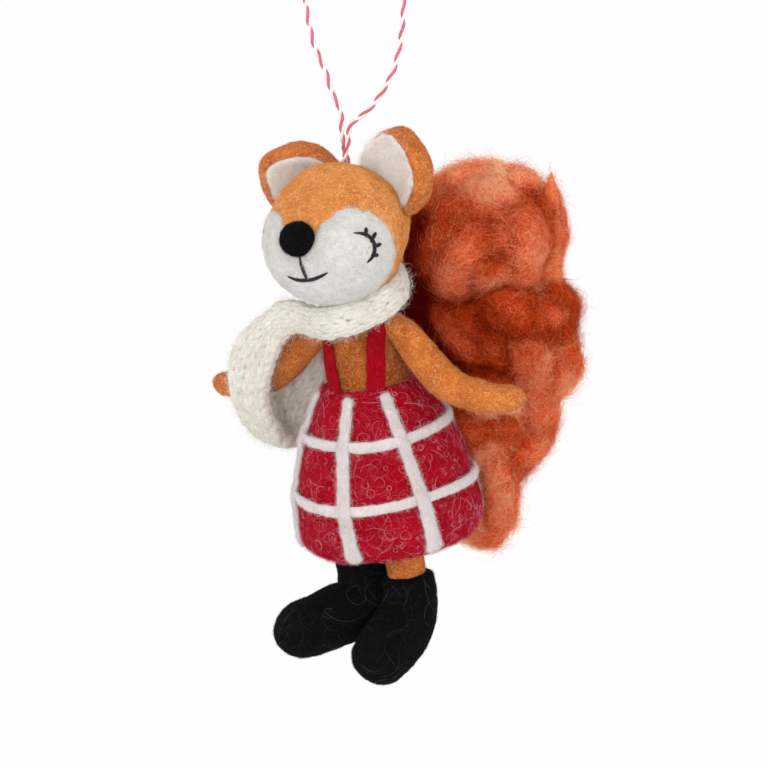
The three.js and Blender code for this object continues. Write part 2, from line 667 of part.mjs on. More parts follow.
// Rooms: pieces with the seat around them, to cut what lies against them
const chestRoom = turned([[0, neckTop], ...chestOutline(SEAT), [0, -WAIST_LEVEL]], skirtSides);
const hipRoom = skirtRoom();
const bodyRoom = join(chestRoom, hipRoom);
const hips = skirtOutline(SKIRT_WALL);
const underBody = turned([[0, -WAIST_LEVEL], ...hips, [0, hips.at(-1)[1]]], skirtSides);
const strapRoom = join(...Object.values(SIDES).flatMap((side) =>
  [strap(side, SEAT), strap(side, SEAT, NECK_RADIUS / 3)]));
const armRoom = join(arm('left', SEAT), arm('right', SEAT));

add(figure, 'body', bodyForm(), ORANGE);
add(figure, 'skirt', skirt, RED);
const ringNames = ['check_ring_upper', 'check_ring_lower'];
RING_LEVELS.forEach((level, i) => add(figure, ringNames[i], ring(level), WHITE));
UPRIGHT_ANGLES.forEach((angle, i) => add(figure, `check_upright_${i + 1}`, upright(angle), WHITE));
for (const [name, side] of Object.entries(SIDES)) {
  add(figure, `strap_${name}`, cut(strap(side), bodyRoom, headForm(SEAT)), STRAP_RED);
  add(figure, `arm_${name}`, cut(arm(name), bodyRoom, strapRoom), ORANGE);
  add(figure, `leg_${name}`, cut(leg(name), underBody), ORANGE);
}
add(figure, 'boot_left', cut(boot('left'), leg('left', SEAT), hipRoom), BLACK);
add(figure, 'boot_right', cut(boot('right'), leg('right', SEAT), hipRoom, boot('left', SEAT)), BLACK);

const scarf = sweep(scarfPath(), scarfSize, scarfOut, { steps: 38, sides: 8, square: 0.75 });
add(figure, 'scarf', cut(scarf, headForm(SEAT), bodyRoom, strapRoom, armRoom), CREAM);

add(figure, 'tail_core', cut(tailCore(), hipRoom), RUST);
const checkRoom = skirtRoom(3 * SEAT + 2 * CHECK_THICKNESS + FACET_ROOM);
TAIL_LOCKS.forEach((lock, i) => {
  const larger = TAIL_LOCKS.slice(0, i).map((other) => lockForm(other, SEAT));
  const wool = cut(lockForm(lock, 0), ...larger, tailCore(SEAT), checkRoom, headForm(SEAT));
  add(figure, `tail_lock_${i + 1}`, wool, RUST);
});

export default part;
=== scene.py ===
import math

import bpy
import numpy as np
from mathutils import Matrix, Vector, noise
from mathutils.bvhtree import BVHTree


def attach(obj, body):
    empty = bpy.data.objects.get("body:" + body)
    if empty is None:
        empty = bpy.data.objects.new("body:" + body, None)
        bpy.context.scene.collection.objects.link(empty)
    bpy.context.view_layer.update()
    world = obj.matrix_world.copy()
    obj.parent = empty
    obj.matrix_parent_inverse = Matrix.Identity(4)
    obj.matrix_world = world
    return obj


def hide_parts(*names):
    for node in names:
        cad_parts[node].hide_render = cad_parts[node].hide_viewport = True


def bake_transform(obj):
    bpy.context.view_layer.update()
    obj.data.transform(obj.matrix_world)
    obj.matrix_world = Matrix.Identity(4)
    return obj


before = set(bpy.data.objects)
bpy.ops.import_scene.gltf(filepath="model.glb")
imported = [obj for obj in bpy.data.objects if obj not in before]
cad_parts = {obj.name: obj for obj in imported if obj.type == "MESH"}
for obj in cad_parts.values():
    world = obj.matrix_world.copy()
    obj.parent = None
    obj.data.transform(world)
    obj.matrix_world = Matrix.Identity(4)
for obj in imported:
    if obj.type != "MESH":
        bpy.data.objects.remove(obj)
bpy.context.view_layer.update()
scene = bpy.context.scene
scene.view_settings.view_transform = "Standard"

# Camera. The photograph looks at the fox from its left front and a little above, from about 0.75 m away,
# with the fox a little left of the middle of the frame.
camera_turn = math.radians(29.3)
camera_rise = math.radians(14.9)
camera_distance = 0.752
frame_pixels = 768
pixel_size = 0.0002317  # metres on the fox to a pixel
aim = Vector((0.0110, -0.0057, -0.0990))
away = Vector((
    math.sin(camera_turn) * math.cos(camera_rise),
    -math.cos(camera_turn) * math.cos(camera_rise),
    math.sin(camera_rise),
))
camera = bpy.data.objects.new("camera", bpy.data.cameras.new("camera"))
camera.location = aim + camera_distance * away
camera.rotation_euler = away.to_track_quat("Z", "Y").to_euler()
camera.data.sensor_fit = "HORIZONTAL"
camera.data.angle = 2 * math.atan(frame_pixels / 2 * pixel_size / camera_distance)
camera.data.clip_start = 0.01
scene.collection.objects.link(camera)
scene.camera = camera


# Light and floor. A big soft box hangs over the camera, smaller ones fill from the front and the sides, and
# white card all round lifts the shadows. The floor is white card, well below the hanging fox.
class Value:
    """A socket in a node tree; sums and products of these add the nodes they need."""

    def __init__(self, paint, socket):
        self.paint = paint
        self.socket = socket

    def math(self, operation, *others):
        terms = dict(enumerate((self, *others)))
        return self.paint.node("ShaderNodeMath", {"operation": operation}, terms)

    def __add__(self, other):
        return self.math("ADD", other)

    def __sub__(self, other):
        return self.math("SUBTRACT", other)

    def __rsub__(self, other):
        return self.paint.node("ShaderNodeMath", {"operation": "SUBTRACT"}, {0: other, 1: self})

    def __mul__(self, other):
        return self.math("MULTIPLY", other)

    def __abs__(self):
        return self.math("ABSOLUTE")

    def within(self):
        """The value, held between 0 and 1."""
        return self.paint.node("ShaderNodeClamp", {}, {0: self})

    __radd__ = __add__
    __rmul__ = __mul__


class Paint:
    """The nodes of one material or of the world."""

    def __init__(self, holder):
        self.holder = holder
        holder.use_nodes = True
        self.tree = holder.node_tree
        self.tree.nodes.clear()

    def node(self, kind, settings=None, sockets=None, output=0):
        made = self.tree.nodes.new(kind)
        for name, value in (settings or {}).items():
            if name == "stops":
                for stop, (place, colour) in enumerate(value):
                    elements = made.color_ramp.elements
                    element = elements[stop] if stop < 2 else elements.new(place)
                    element.position = place
                    element.color = colour
            else:
                setattr(made, name, value)
        for name, value in (sockets or {}).items():
            if isinstance(value, Value):
                self.tree.links.new(value.socket, made.inputs[name])
            else:
                made.inputs[name].default_value = value
        return Value(self, made.outputs[output]) if made.outputs else None

    def mix(self, share, first, second):
        """From the first colour to the second, by share."""
        return self.node("ShaderNodeMix", {"data_type": "RGBA"}, {0: share, 6: first, 7: second}, 2)

    def noise(self, place, scale, detail, twist=0.0):
        """Soft lumps about 0.5, as many to a metre as the scale says."""
        sockets = {"Vector": place, "Scale": scale, "Detail": detail, "Distortion": twist}
        return self.node("ShaderNodeTexNoise", {}, sockets)

    def bump(self, height, strength, depth):
        """Relief of a depth in metres."""
        return self.node("ShaderNodeBump", {}, {"Height": height, "Strength": strength, "Distance": depth})

    def surface(self, sockets):
        """The material, once its surface has these sockets set."""
        made = self.node("ShaderNodeBsdfPrincipled", {}, sockets)
        self.node("ShaderNodeOutputMaterial", {}, {"Surface": made})
        return self.holder


def dye(red, green, blue):
    """A colour from the values that it has on a screen, 0 to 255."""
    shades = [c / 255 for c in (red, green, blue)]
    linear = [((c + 0.055) / 1.055) ** 2.4 if c > 0.04 else c / 12.92 for c in shades]
    return (*linear, 1.0)


def rays_to_lens(paint):
    """1 for what the lens sees, straight or in a mirror or glass, and 0 for light on the fox."""
    kinds = ("Is Camera Ray", "Is Glossy Ray", "Is Transmission Ray")
    lens, glossy, clear = [paint.node("ShaderNodeLightPath", output=kind) for kind in kinds]
    return (lens + glossy + clear).within()


white_light = dye(255, 255, 255)
fill_strength = 0.85
scene.world = bpy.data.worlds.new("white_card")
paint = Paint(scene.world)
fill = paint.node("ShaderNodeBackground", {}, {"Color": white_light, "Strength": fill_strength})
card = paint.node("ShaderNodeBackground", {}, {"Color": white_light, "Strength": 1.0})
both = paint.node("ShaderNodeMixShader", {}, {0: rays_to_lens(paint), 1: fill, 2: card})
paint.node("ShaderNodeOutputWorld", {}, {"Surface": both})


def soft_box(name, place, size, power):
    """A round lamp of a size in metres that faces the fox."""
    lamp = bpy.data.lights.new(name, "AREA")
    lamp.shape = "DISK"
    lamp.size = size
    lamp.energy = power
    box = bpy.data.objects.new(name, lamp)
    box.location = place
    box.rotation_euler = (Vector(place) - aim).to_track_quat("Z", "Y").to_euler()
    scene.collection.objects.link(box)


soft_box("key_light", (0.14, -0.68, 0.60), 0.8, 1.3)
soft_box("front_light", (0.34, -0.72, 0.02), 0.5, 1.85)
soft_box("left_light", (-0.55, -0.50, 0.05), 0.6, 0.85)
soft_box("right_light", (0.80, -0.10, 0.20), 0.6, 0.9)

floor_level = -0.265
floor_reach = 6.0
floor_glow = 0.96  # the rest takes the shadow
floor_corners = [(-1, -1), (1, -1), (1, 1), (-1, 1)]
floor_mesh = bpy.data.meshes.new("floor")
floor_mesh.from_pydata(
    [(x * floor_reach, y * floor_reach, floor_level) for x, y in floor_corners], [], [(0, 1, 2, 3)])
floor = bpy.data.objects.new("floor", floor_mesh)
scene.collection.objects.link(floor)
floor_card = bpy.data.materials.new("floor_card")
paint = Paint(floor_card)
matt = paint.node("ShaderNodeBsdfDiffuse", {}, {"Color": dye(240, 240, 240)})
glow = paint.node("ShaderNodeEmission", {}, {"Color": white_light, "Strength": 1.0})
both = paint.node("ShaderNodeMixShader", {}, {0: rays_to_lens(paint) * floor_glow, 1: matt, 2: glow})
paint.node("ShaderNodeOutputMaterial", {}, {"Surface": both})
floor_mesh.materials.append(floor_card)

# Twine. One length of two-ply cotton twine, a white ply and a red one, is doubled into the hanging loop. Its
# two ends twist round each other above the crown and are sewn into the head there.
MM = 0.001
parting = np.array([-1.8187, -1.05, -42.75])  # where the strands part, in mm
twine_diameter = 1.3
twine_steps = 420
stem_height = 6.8
stem_turn = math.radians(200)
stem_foot = 8.1  # below the parting, in the stitch hole
stem_end = 0.3  # of the twist, above the parting
strand_gap = 0.02  # from a strand to the middle of the stem
loop_turn = math.radians(30)
loop_route = [
    (-0.9, 3.1), (-0.9, 4.4), (-1.4, 6.9), (-2.8, 9.7), (-4.6, 15.4), (-7, 21.1), (-8.3, 26.8), (-9, 32.4),
    (-7.4, 38.1), (-3.2, 42), (2.1, 43.4), (7.3, 42.1), (11.6, 38), (13.2, 32.4), (13.2, 26.8),
    (12.5, 21.1), (11.1, 15.4), (8.1, 9.7), (6, 6.9), (3.3, 4.4), (1.4, 3),
]


def shares(count, even=True):
    """Shares from 0 to 1, evenly spaced or closer together at both ends."""
    share = np.linspace(0, 1, count)
    return share if even else (1 - np.cos(np.pi * share)) / 2


def route(points, count, even=True):
    """A smooth line through the points: count places, spaced as shares are."""
    points = np.asarray(points, float)
    knots = np.r_[0, np.cumsum(np.linalg.norm(np.diff(points, axis=0), axis=1) ** 0.5)]
    gaps = np.diff(knots)[:, None]
    slopes = np.diff(points, axis=0) / gaps
    ways = np.empty_like(points)
    ways[0], ways[-1] = slopes[0], slopes[-1]
    wide = (points[2:] - points[:-2]) / (gaps[1:] + gaps[:-1])
    ways[1:-1] = slopes[:-1] - wide + slopes[1:]
    fine = np.linspace(0, knots[-1], 60 * len(points))
    piece = np.clip(np.searchsorted(knots, fine, "right") - 1, 0, len(points) - 2)
    gap = gaps[piece]
    t = ((fine - knots[piece])[:, None]) / gap
    line = (
        (2 * t**3 - 3 * t**2 + 1) * points[piece] + (t**3 - 2 * t**2 + t) * gap * ways[piece]
        + (3 * t**2 - 2 * t**3) * points[piece + 1] + (t**3 - t**2) * gap * ways[piece + 1]
    )
    along = np.r_[0, np.cumsum(np.linalg.norm(np.diff(line, axis=0), axis=1))]
    places = shares(count, even) * along[-1]
    return np.stack([np.interp(places, along, axis) for axis in line.T], 1)


def length_of(line):
    return np.linalg.norm(np.diff(line, axis=0), axis=1).sum()


def unit(vectors):
    return vectors / np.maximum(np.linalg.norm(vectors, axis=-1, keepdims=True), 1e-9)


def ways_along(line):
    return unit(np.gradient(line, axis=0))


def squared(angle, square):
    """Across and out on a rounded square of half width 1. square is 1 for a circle and less for corners."""
    wide, thick = np.cos(angle), np.sin(angle)
    return np.sign(wide) * np.abs(wide) ** square, np.sign(thick) * np.abs(thick) ** square


def rings_about(line, half_width, half_thickness, facing, sides, square=1.0, angles=None):
    """Rings of points round a line. facing is the way that the thickness points at each place."""
    way = ways_along(line)
    across = unit(np.cross(way, facing))
    out = np.cross(across, way)
    angle = np.linspace(0, 2 * np.pi, sides, endpoint=False) if angles is None else angles
    wide, thick = squared(angle, square)
    half_width = np.broadcast_to(half_width, len(line))[:, None, None]
    half_thickness = np.broadcast_to(half_thickness, len(line))[:, None, None]
    return (
        line[:, None] + half_width * across[:, None] * wide[None, :, None]
        + half_thickness * out[:, None] * thick[None, :, None]
    )


def skin_faces(rows, sides, start=0):
    """Faces of a closed skin of rings, whose first and last points close its ends."""
    ring = np.arange(rows - 1)[:, None] * sides
    side = np.arange(sides)[None]
    following = (side + 1) % sides
    corner = np.stack([ring + side, ring + sides + side, ring + sides + following, ring + following], -1)
    end = rows * sides + 1
    side, following = side[0], following[0]
    first = np.stack([np.zeros(sides, int), side + 1, following + 1], -1)
    last = np.stack([np.full(sides, end), end - sides + following, end - sides + side], -1)
    return (corner.reshape(-1, 4) + 1 + start).tolist() + (first + start).tolist() + (last + start).tolist()


def skin_points(rings):
    """The points for those faces."""
    return np.concatenate([rings[:1].mean(1), rings.reshape(-1, 3), rings[-1:].mean(1)])


def new_piece(name, points, faces, material):
    """A smooth piece from points in mm."""
    mesh = bpy.data.meshes.new(name)
    mesh.from_pydata((np.asarray(points) * MM).tolist(), [], faces)
    mesh.polygons.foreach_set("use_smooth", np.ones(len(mesh.polygons), bool))
    mesh.materials.append(material)
    piece = bpy.data.objects.new(name, mesh)
    scene.collection.objects.link(piece)
    return piece


def cotton(name, deep, light):
    """Spun cotton: short fine fibres, seen as a light and dark grain."""
    paint = Paint(bpy.data.materials.new(name))
    place = paint.node("ShaderNodeTexCoord", output="Object")
    grain = paint.noise(place, 3500.0, 3.0)
    slub = paint.noise(place, 700.0, 2.0)
    return paint.surface({
        "Base Color": paint.mix((grain * 0.6 + slub * 0.6 - 0.1).within(), deep, light),
        "Normal": paint.bump(grain, 0.5, 0.0001), "Roughness": 0.9, "Specular IOR Level": 0.2,
        "Sheen Weight": 0.25,
    })


loop_across = np.array([math.cos(loop_turn), math.sin(loop_turn), 0])
stem_steps = np.linspace(-stem_foot, 0, 9)
stem_angle = loop_turn + stem_turn * stem_steps / (stem_foot + stem_end)
strand_offset = twine_diameter / 2 + strand_gap
stem_strand = np.stack([
    strand_offset * np.cos(stem_angle), strand_offset * np.sin(stem_angle), stem_steps,
], 1)
other_strand = stem_strand * [-1, -1, 1]
loop = np.array([loop_across * aside + [0, 0, height] for aside, height in loop_route])
twine_line = route(np.concatenate([other_strand, loop, stem_strand[::-1]]) + parting, twine_steps)
twine_length = length_of(twine_line)
ply_pitch = 5.2
ply_angle = np.linspace(0, 2 * np.pi * twine_length / ply_pitch, len(twine_line))
twine_way = ways_along(twine_line)
twine_side = unit(np.cross(twine_way, np.cross(loop_across, [0, 0, 1])))
twine_face = np.cross(twine_way, twine_side)
ply_radius = twine_diameter * 0.27
ply_offset = twine_diameter * 0.23
ply_sides = 8
twine_points, twine_faces, ply_of_face = [], [], []
for ply in (0, 1):
    turn = (ply_angle + ply * np.pi)[:, None]
    centre = twine_line + ply_offset * (np.cos(turn) * twine_side + np.sin(turn) * twine_face)
    rings = rings_about(centre, ply_radius, ply_radius, twine_side, ply_sides)
    faces = skin_faces(len(rings), ply_sides, sum(map(len, twine_points)))
    twine_points.append(skin_points(rings))
    twine_faces += faces
    ply_of_face += [ply] * len(faces)
white_ply = cotton("white_ply", dye(214, 208, 202), dye(246, 244, 241))
red_ply = cotton("red_ply", dye(184, 58, 88), dye(226, 128, 148))
twine = new_piece("twine", np.concatenate(twine_points), twine_faces, white_ply)
twine.data.materials.append(red_ply)
twine.data.polygons.foreach_set("material_index", ply_of_face)
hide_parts("twine_loop", "twine_stem")
stitch_hole = parting - [0, 0, stem_height]
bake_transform(twine)

# Head. An egg of orange wool, needled hard and smooth, with a flatter brow. Its own short fibres stand off it
# as a thin fuzz, and paler ones lie matted in the surface.
crown = np.array([0, 4, 0])
lean_axis = Vector((0.5, -0.866, 0))
lean_angle = math.radians(8.5)
lean = np.array(Matrix.Rotation(lean_angle, 3, lean_axis))
head_radii = np.array([16.5, 17.3, 16])
head_middle = np.array([0, -4.3, -14.04])
brow_flatness = 0.07


def stand(points):
    """Places on the upright fox, in mm below its crown, moved to where it hangs and leans."""
    return (np.asarray(points, float) - crown) @ lean.T + stitch_hole


def upright(points):
    """The other way about: places where it hangs, as places on the upright fox."""
    return (np.asarray(points, float) - stitch_hole) @ lean + crown


def directions(around, down):
    """Rings of unit vectors from the top to the bottom."""
    polar = np.linspace(0, np.pi, down + 2)[1:-1, None]
    turn = np.linspace(0, 2 * np.pi, around, endpoint=False)[None]
    level = np.cos(polar) + 0 * turn
    return np.stack([np.sin(polar) * np.cos(turn), np.sin(polar) * np.sin(turn), level], -1)


def on_head(way, lift=0.0):
    brow = 1 - brow_flatness * np.maximum(0, -4 * way[..., 1:2] * way[..., 2:3])
    return way * (head_radii + lift) * brow + head_middle


def swell(points, size, seed):
    """Smooth noise from about -1 to 1 with lumps of that size, in mm."""
    shift = Vector((seed * 7.3, seed * 3.1, seed * 5.7))
    return np.array([noise.noise(Vector(p) / size + shift) for p in points])


def points_and_ways(mesh):
    """A mesh's points in metres, and the way out of it at each."""
    points, ways = np.empty(len(mesh.vertices) * 3), np.empty(len(mesh.vertices) * 3)
    mesh.vertices.foreach_get("co", points)
    mesh.vertex_normals.foreach_get("vector", ways)
    return points.reshape(-1, 3), ways.reshape(-1, 3)


def lumpy(piece, lumps, seed):
    """Moves a piece's points in and out, as felt is never smooth. lumps are sizes and heights in mm."""
    points, ways = points_and_ways(piece.data)
    for turn, (size, height) in enumerate(lumps):
        points = points + ways * (height * MM * swell(points / MM, size, seed + turn))[:, None]
    piece.data.vertices.foreach_set("co", points.ravel())
    piece.data.update()


def matted_fibres(paint, place, layers, detail, fineness):
    """1 on fine curled lines all over a surface, and 0 between them. Each layer has a scale and a twist."""
    lines = [
        (1 - abs(paint.noise(place, scale, detail, twist) - 0.5) * fineness).within()
        for scale, twist in layers]
    return (lines[0] + lines[1] + lines[2]).within()


def felt(name, deep, main, light, show=0.5, sheen=0.06):
    """Needled wool: soft patches of the main shade, with fine curled fibres matted in, paler by show."""
    paint = Paint(bpy.data.materials.new(name))
    place = paint.node("ShaderNodeTexCoord", output="Object")
    patch = paint.noise(place, 170.0, 4.0)
    grain = paint.noise(place, 2400.0, 3.0)
    matted = matted_fibres(paint, place, ((330.0, 2.2), (520.0, 1.6), (790.0, 1.2)), 1.5, 32)
    ground = paint.mix((patch * 2.4 - 0.75 + (grain - 0.5) * 0.5).within(), deep, main)
    return paint.surface({
        "Base Color": paint.mix((matted * grain * (2 * show)).within(), ground, light),
        "Normal": paint.bump(grain * 0.5 + matted * 0.5, 0.55, 0.00018),
        "Roughness": 0.95, "Specular IOR Level": 0.1, "Sheen Weight": sheen, "Sheen Roughness": 0.6,
    })


def strand_wool(name, deep, main, light):
    """Single wool fibres, each with its own shade between the deep and the light."""
    paint = Paint(bpy.data.materials.new(name))
    tone = paint.node("ShaderNodeAttribute", {"attribute_name": "tone"}, output="Fac")
    colour = paint.node("ShaderNodeValToRGB", {"stops": [(0, deep), (1, light), (0.5, main)]}, {0: tone})
    return paint.surface({"Base Color": colour, "Roughness": 0.9, "Specular IOR Level": 0.05})


def roots_on(piece, count, dice):
    """Even random places on a piece, in mm, with the way out of it there."""
    mesh = piece.data
    mesh.calc_loop_triangles()
    corners = np.empty(len(mesh.loop_triangles) * 3, int)
    mesh.loop_triangles.foreach_get("vertices", corners)
    corners = corners.reshape(-1, 3)
    points, ways = points_and_ways(mesh)
    corner = points[corners] / MM
    areas = np.linalg.norm(np.cross(corner[:, 1] - corner[:, 0], corner[:, 2] - corner[:, 0]), axis=1)
    pick = dice.choice(len(areas), count, p=areas / areas.sum())
    share = dice.dirichlet((1, 1, 1), count)[:, :, None]
    return (corner[pick] * share).sum(1), unit((ways[corners][pick] * share).sum(1))


def belongs(piece, finish, *nodes):
    """The piece moves with the fox and stands for the nodes. finish is not used."""
    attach(piece, "figure")
    if nodes:
        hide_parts(*nodes)


def felted(name, rings, material, finish, lumps, seed):
    """A closed piece from rings of places on the upright fox. It stands for the node of its name."""
    rows, sides = rings.shape[:2]
    piece = new_piece(name, stand(skin_points(rings)), skin_faces(rows, sides), material)
    lumpy(piece, lumps, seed)
    belongs(piece, finish, name)
    return piece


def fibres_on(name, piece, finish, material, count, seed, length=1.8, width=0.055, rise=0.25, curl=2.2,
              steps=4, close=False, flow=None, keep=None, shade=None, bow=20.0):
    """Fibres of a length and width in mm that start on a piece, where keep says so. rise is how steeply they
    leave it, and curl how far they turn, in radians. Close ones follow the surface, and others bend back to
    it as over a ball of radius bow. flow gives headings for places, and shade how light they are there, from
    0 to 1; without them both are random."""
    dice = np.random.default_rng(seed)
    places, out = roots_on(piece, count, dice)
    if keep is not None:
        kept = keep(places)
        places, out = places[kept], out[kept]
        count = len(places)
    if flow is None:
        heading = dice.normal(size=(count, 3))
    else:
        heading = flow(places) + dice.normal(0, 0.35, (count, 3))
    heading = unit(heading - out * (heading * out).sum(1, keepdims=True))
    stretch = length * dice.uniform(0.45, 1.25, (count, 1)) / steps
    bend = dice.normal(0, curl, (count, 1)) / steps
    steep = rise * dice.uniform(0.3, 1.4, (count, 1))
    roll = dice.uniform(0, np.pi, (count, 1))
    if close:
        corners = [v.co / MM for v in piece.data.vertices]
        ground = BVHTree.FromPolygons(corners, [p.vertices[:] for p in piece.data.polygons])
    line = [places]
    for step in range(steps):
        side = np.cross(out, heading)
        heading = unit(heading * np.cos(bend) + side * np.sin(bend))
        if close:
            found = [ground.find_nearest(p)[:2] for p in (line[-1] + heading * stretch).tolist()]
            out = np.array([f[1] for f in found])
            heading = unit(heading - out * (heading * out).sum(1, keepdims=True))
            lift = steep * math.sin(math.pi * (step + 1) / (steps + 0.5))
            line.append(np.array([f[0] for f in found]) + out * lift)
        else:
            climb = steep * (1 - 1.3 * step / steps) - step * stretch / bow
            line.append(line[-1] + unit(heading + out * climb) * stretch)
    line = np.stack(line, 1)
    way = unit(np.gradient(line, axis=1))
    flat = unit(np.cross(way, out[:, None]))
    side = np.cos(roll)[:, None] * flat + np.sin(roll)[:, None] * np.cross(way, flat)
    half = width / 2 * np.linspace(1, 0.35, steps + 1)[None, :, None]
    points = np.stack([line - side * half, line + side * half], 2)
    first = (np.arange(count)[:, None] * (steps + 1) + np.arange(steps)[None]).reshape(-1, 1) * 2
    faces = (first + np.array([[0, 1, 3, 2]])).tolist()
    fuzz = new_piece(name, points.reshape(-1, 3), faces, material)
    tone = dice.beta(2.2, 2.2, count)
    if shade is not None:
        tone = np.clip(shade(places) + 0.7 * (tone - 0.5), 0, 1)
    tone = np.repeat(tone, (steps + 1) * 2)
    fuzz.data.attributes.new("tone", "FLOAT", "POINT").data.foreach_set("value", tone.astype(np.float32))
    # Each fibre has a cell of its own in the flat layout
    rows = math.ceil(math.sqrt(count))
    cell = np.stack([np.arange(count) // rows, np.arange(count) % rows], 1)[:, None, None]
    inner = np.stack(np.meshgrid(np.linspace(0.2, 0.8, steps + 1), (0.2, 0.8), indexing="ij"), -1)[None]
    spread = ((cell + inner) / rows).reshape(-1, 2)
    corners = np.empty(len(fuzz.data.loops), int)
    fuzz.data.loops.foreach_get("vertex_index", corners)
    layer = fuzz.data.uv_layers.new(name="OFBake")
    layer.data.foreach_set("uv", spread[corners].astype(np.float32).ravel())
    belongs(fuzz, finish)


orange = felt("orange_felt", dye(162, 76, 20), dye(202, 111, 39), dye(236, 172, 106))
orange_strand = strand_wool("orange_strands", dye(164, 78, 22), dye(211, 121, 50), dye(244, 192, 132))
crown_wool = felt("crown_felt", dye(182, 98, 30), dye(222, 141, 60), dye(248, 204, 138))
crown_strand = strand_wool("crown_strands", dye(192, 109, 37), dye(236, 164, 86), dye(254, 222, 166))
head_lumps = [(9, 0.35), (2.6, 0.14)]
mask_filling = 0.9
fuzz_overlap = 0.4  # how far the head's fuzz starts inside the mask's edge, in mm
mask_lobes = [
    ((11, -10.7, -4.4), (11, 9.4, 12.5)), ((-11, -10.7, -4.4), (11, 9.4, 12.5)),
    ((0, -9.5, -7.6), (14, 10, 12))]


def mask_depth(points):
    """How far inside the edge of the white face a place is, in mm. The corners between lobes are filled."""
    total = 0
    for middle, radii in mask_lobes:
        share = np.linalg.norm((points - head_middle - middle) / radii, axis=-1)
        total = total + np.exp((1 - share) * min(radii) / mask_filling)
    return mask_filling * np.log(total)


def bare_head(places):
    """True outside the white face and on its very edge."""
    return mask_depth(upright(places)) < fuzz_overlap


head = felted("head", on_head(directions(150, 96)), crown_wool, "orange_felt", head_lumps, 1)
fibres_on("head_fuzz", head, "orange_felt", crown_strand, 22000, seed=2,
          length=2.2, width=0.06, curl=2.6, keep=bare_head)

# Face mask. White wool needled onto the front of the head as two cheeks and a chin, up to the nose. Its edge
# is feathered into the orange, so single white fibres cross the line.
mask_lift, mask_sink = 0.55, 0.2  # above the head inside its edge, and below it outside
mask_wander, mask_margin = 0.6, 0.6  # how far its edge strays, and how far it goes on outside, in mm
slope_start, slope_width = -0.4, 1.2  # of its edge, in mm inward
feather_width = 1.4  # of the band along its edge where loose fibres start
mask_around, mask_down = 300, 190
mask_way = directions(mask_around, mask_down)
bare = on_head(mask_way)
depth = mask_depth(bare)
depth = depth + mask_wander * swell(bare.reshape(-1, 3), 2.8, 31).reshape(depth.shape)
rise = np.clip((depth - slope_start) / slope_width, 0, 1)
rise = rise * rise * (3 - 2 * rise)
mask_rings = bare + mask_way * (rise * (mask_lift + mask_sink) - mask_sink)[..., None]
grid = np.arange(mask_around * mask_down).reshape(mask_down, mask_around)
beside = np.roll(grid, -1, 1)
cells = np.stack([grid[:-1], grid[1:], beside[1:], beside[:-1]], -1).reshape(-1, 4)
cells = cells[(depth.reshape(-1)[cells] > -mask_margin).all(1)]
used, corners = np.unique(cells, return_inverse=True)
white = felt("white_felt", dye(200, 197, 192), dye(220, 218, 214), dye(238, 237, 235), 0.4)
white_strand = strand_wool("white_strands", dye(198, 194, 189), dye(222, 220, 216), dye(243, 242, 240))
mask = new_piece(
    "face_mask", stand(mask_rings.reshape(-1, 3)[used]), corners.reshape(-1, 4).tolist(), white)
lumpy(mask, head_lumps, 1)
belongs(mask, "white_felt", "face_mask")
fibres_on("face_mask_fuzz", mask, "white_felt", white_strand, 9000, seed=6, length=2, curl=2.4)


def mask_edge(places):
    """True in a narrow band along the edge of the white face."""
    return mask_depth(upright(places)) < feather_width


fibres_on("face_mask_edge", mask, "white_felt", white_strand, 7000, seed=7,
          length=2.4, width=0.05, rise=0.2, curl=2, keep=mask_edge)

# Nose. A small ball of black wool, rolled hard and needled smooth. It sits on the end of the orange stripe
# that comes down between the cheeks, and is needled to the head from all round.
nose_radius = 4.0
nose_height = 3.2  # above the middle of the head
nose_lift = 1.0


def face_place(aside, above, lift):
    """A place on the head by its angles in degrees: from the front to the fox's left, and above level."""
    aside, above = math.radians(aside), math.radians(above)
    way = np.array([math.sin(aside) * math.cos(above), -math.cos(aside) * math.cos(above), math.sin(above)])
    return on_head(way, lift)


black = felt("black_felt", dye(4, 4, 5), dye(8, 8, 9), dye(20, 20, 23), 0.3, 0)
black_strand = strand_wool("black_strands", dye(5, 5, 6), dye(12, 12, 14), dye(42, 42, 46))
nose_middle = face_place(0, math.degrees(math.asin(nose_height / head_radii[2])), nose_lift)
nose_rings = directions(64, 40) * nose_radius + nose_middle
nose = felted("nose", nose_rings, black, "black_felt", [(4, 0.2), (1.6, 0.1)], 8)
fibres_on("nose_fuzz", nose, "black_felt", black_strand, 2000, seed=9, length=1.4, width=0.05)

# Embroidery. The mouth and the two closed eyes with their lashes are sewn on the mask with black cotton
# thread, each line one stitch or two, pulled down into the wool at its ends.
thread_radius = 0.48
thread_taper = 0.35  # share of a line in each of its pulled-in ends
thread_lift = 0.62
thread_flatness = 0.8
thread_steps, thread_sides = 26, 10
# Lines by their angles in degrees: round from the front, and above level
mouth_routes = [
    [(1.2, -2.5), (1.8, -13), (2.2, -23)],
    [(-17.5, -20), (-7.5, -23), (2.5, -23.2), (11.5, -21.5), (21.5, -17.5)],
]
eye_routes = [
    [(46, 11), (56, 7), (60.5, -1), (59, -10), (53, -15.5)],
    [(55, 5), (57.5, 13)], [(57.5, 0.5), (64.5, 7)], [(59, -3.5), (67, -3)], [(57, -9.5), (63.5, -11.5)],
]
eye_setbacks = {"left": 0, "right": 15}


def domed(share, start, end):
    """1 along a roll, falling to 0 in a round end over a share of it at the start and at the end."""
    short = np.minimum(np.minimum(share / start, (1 - share) / end), 1)
    return np.sqrt(np.maximum(1 - (1 - short) ** 2, 0.0009))


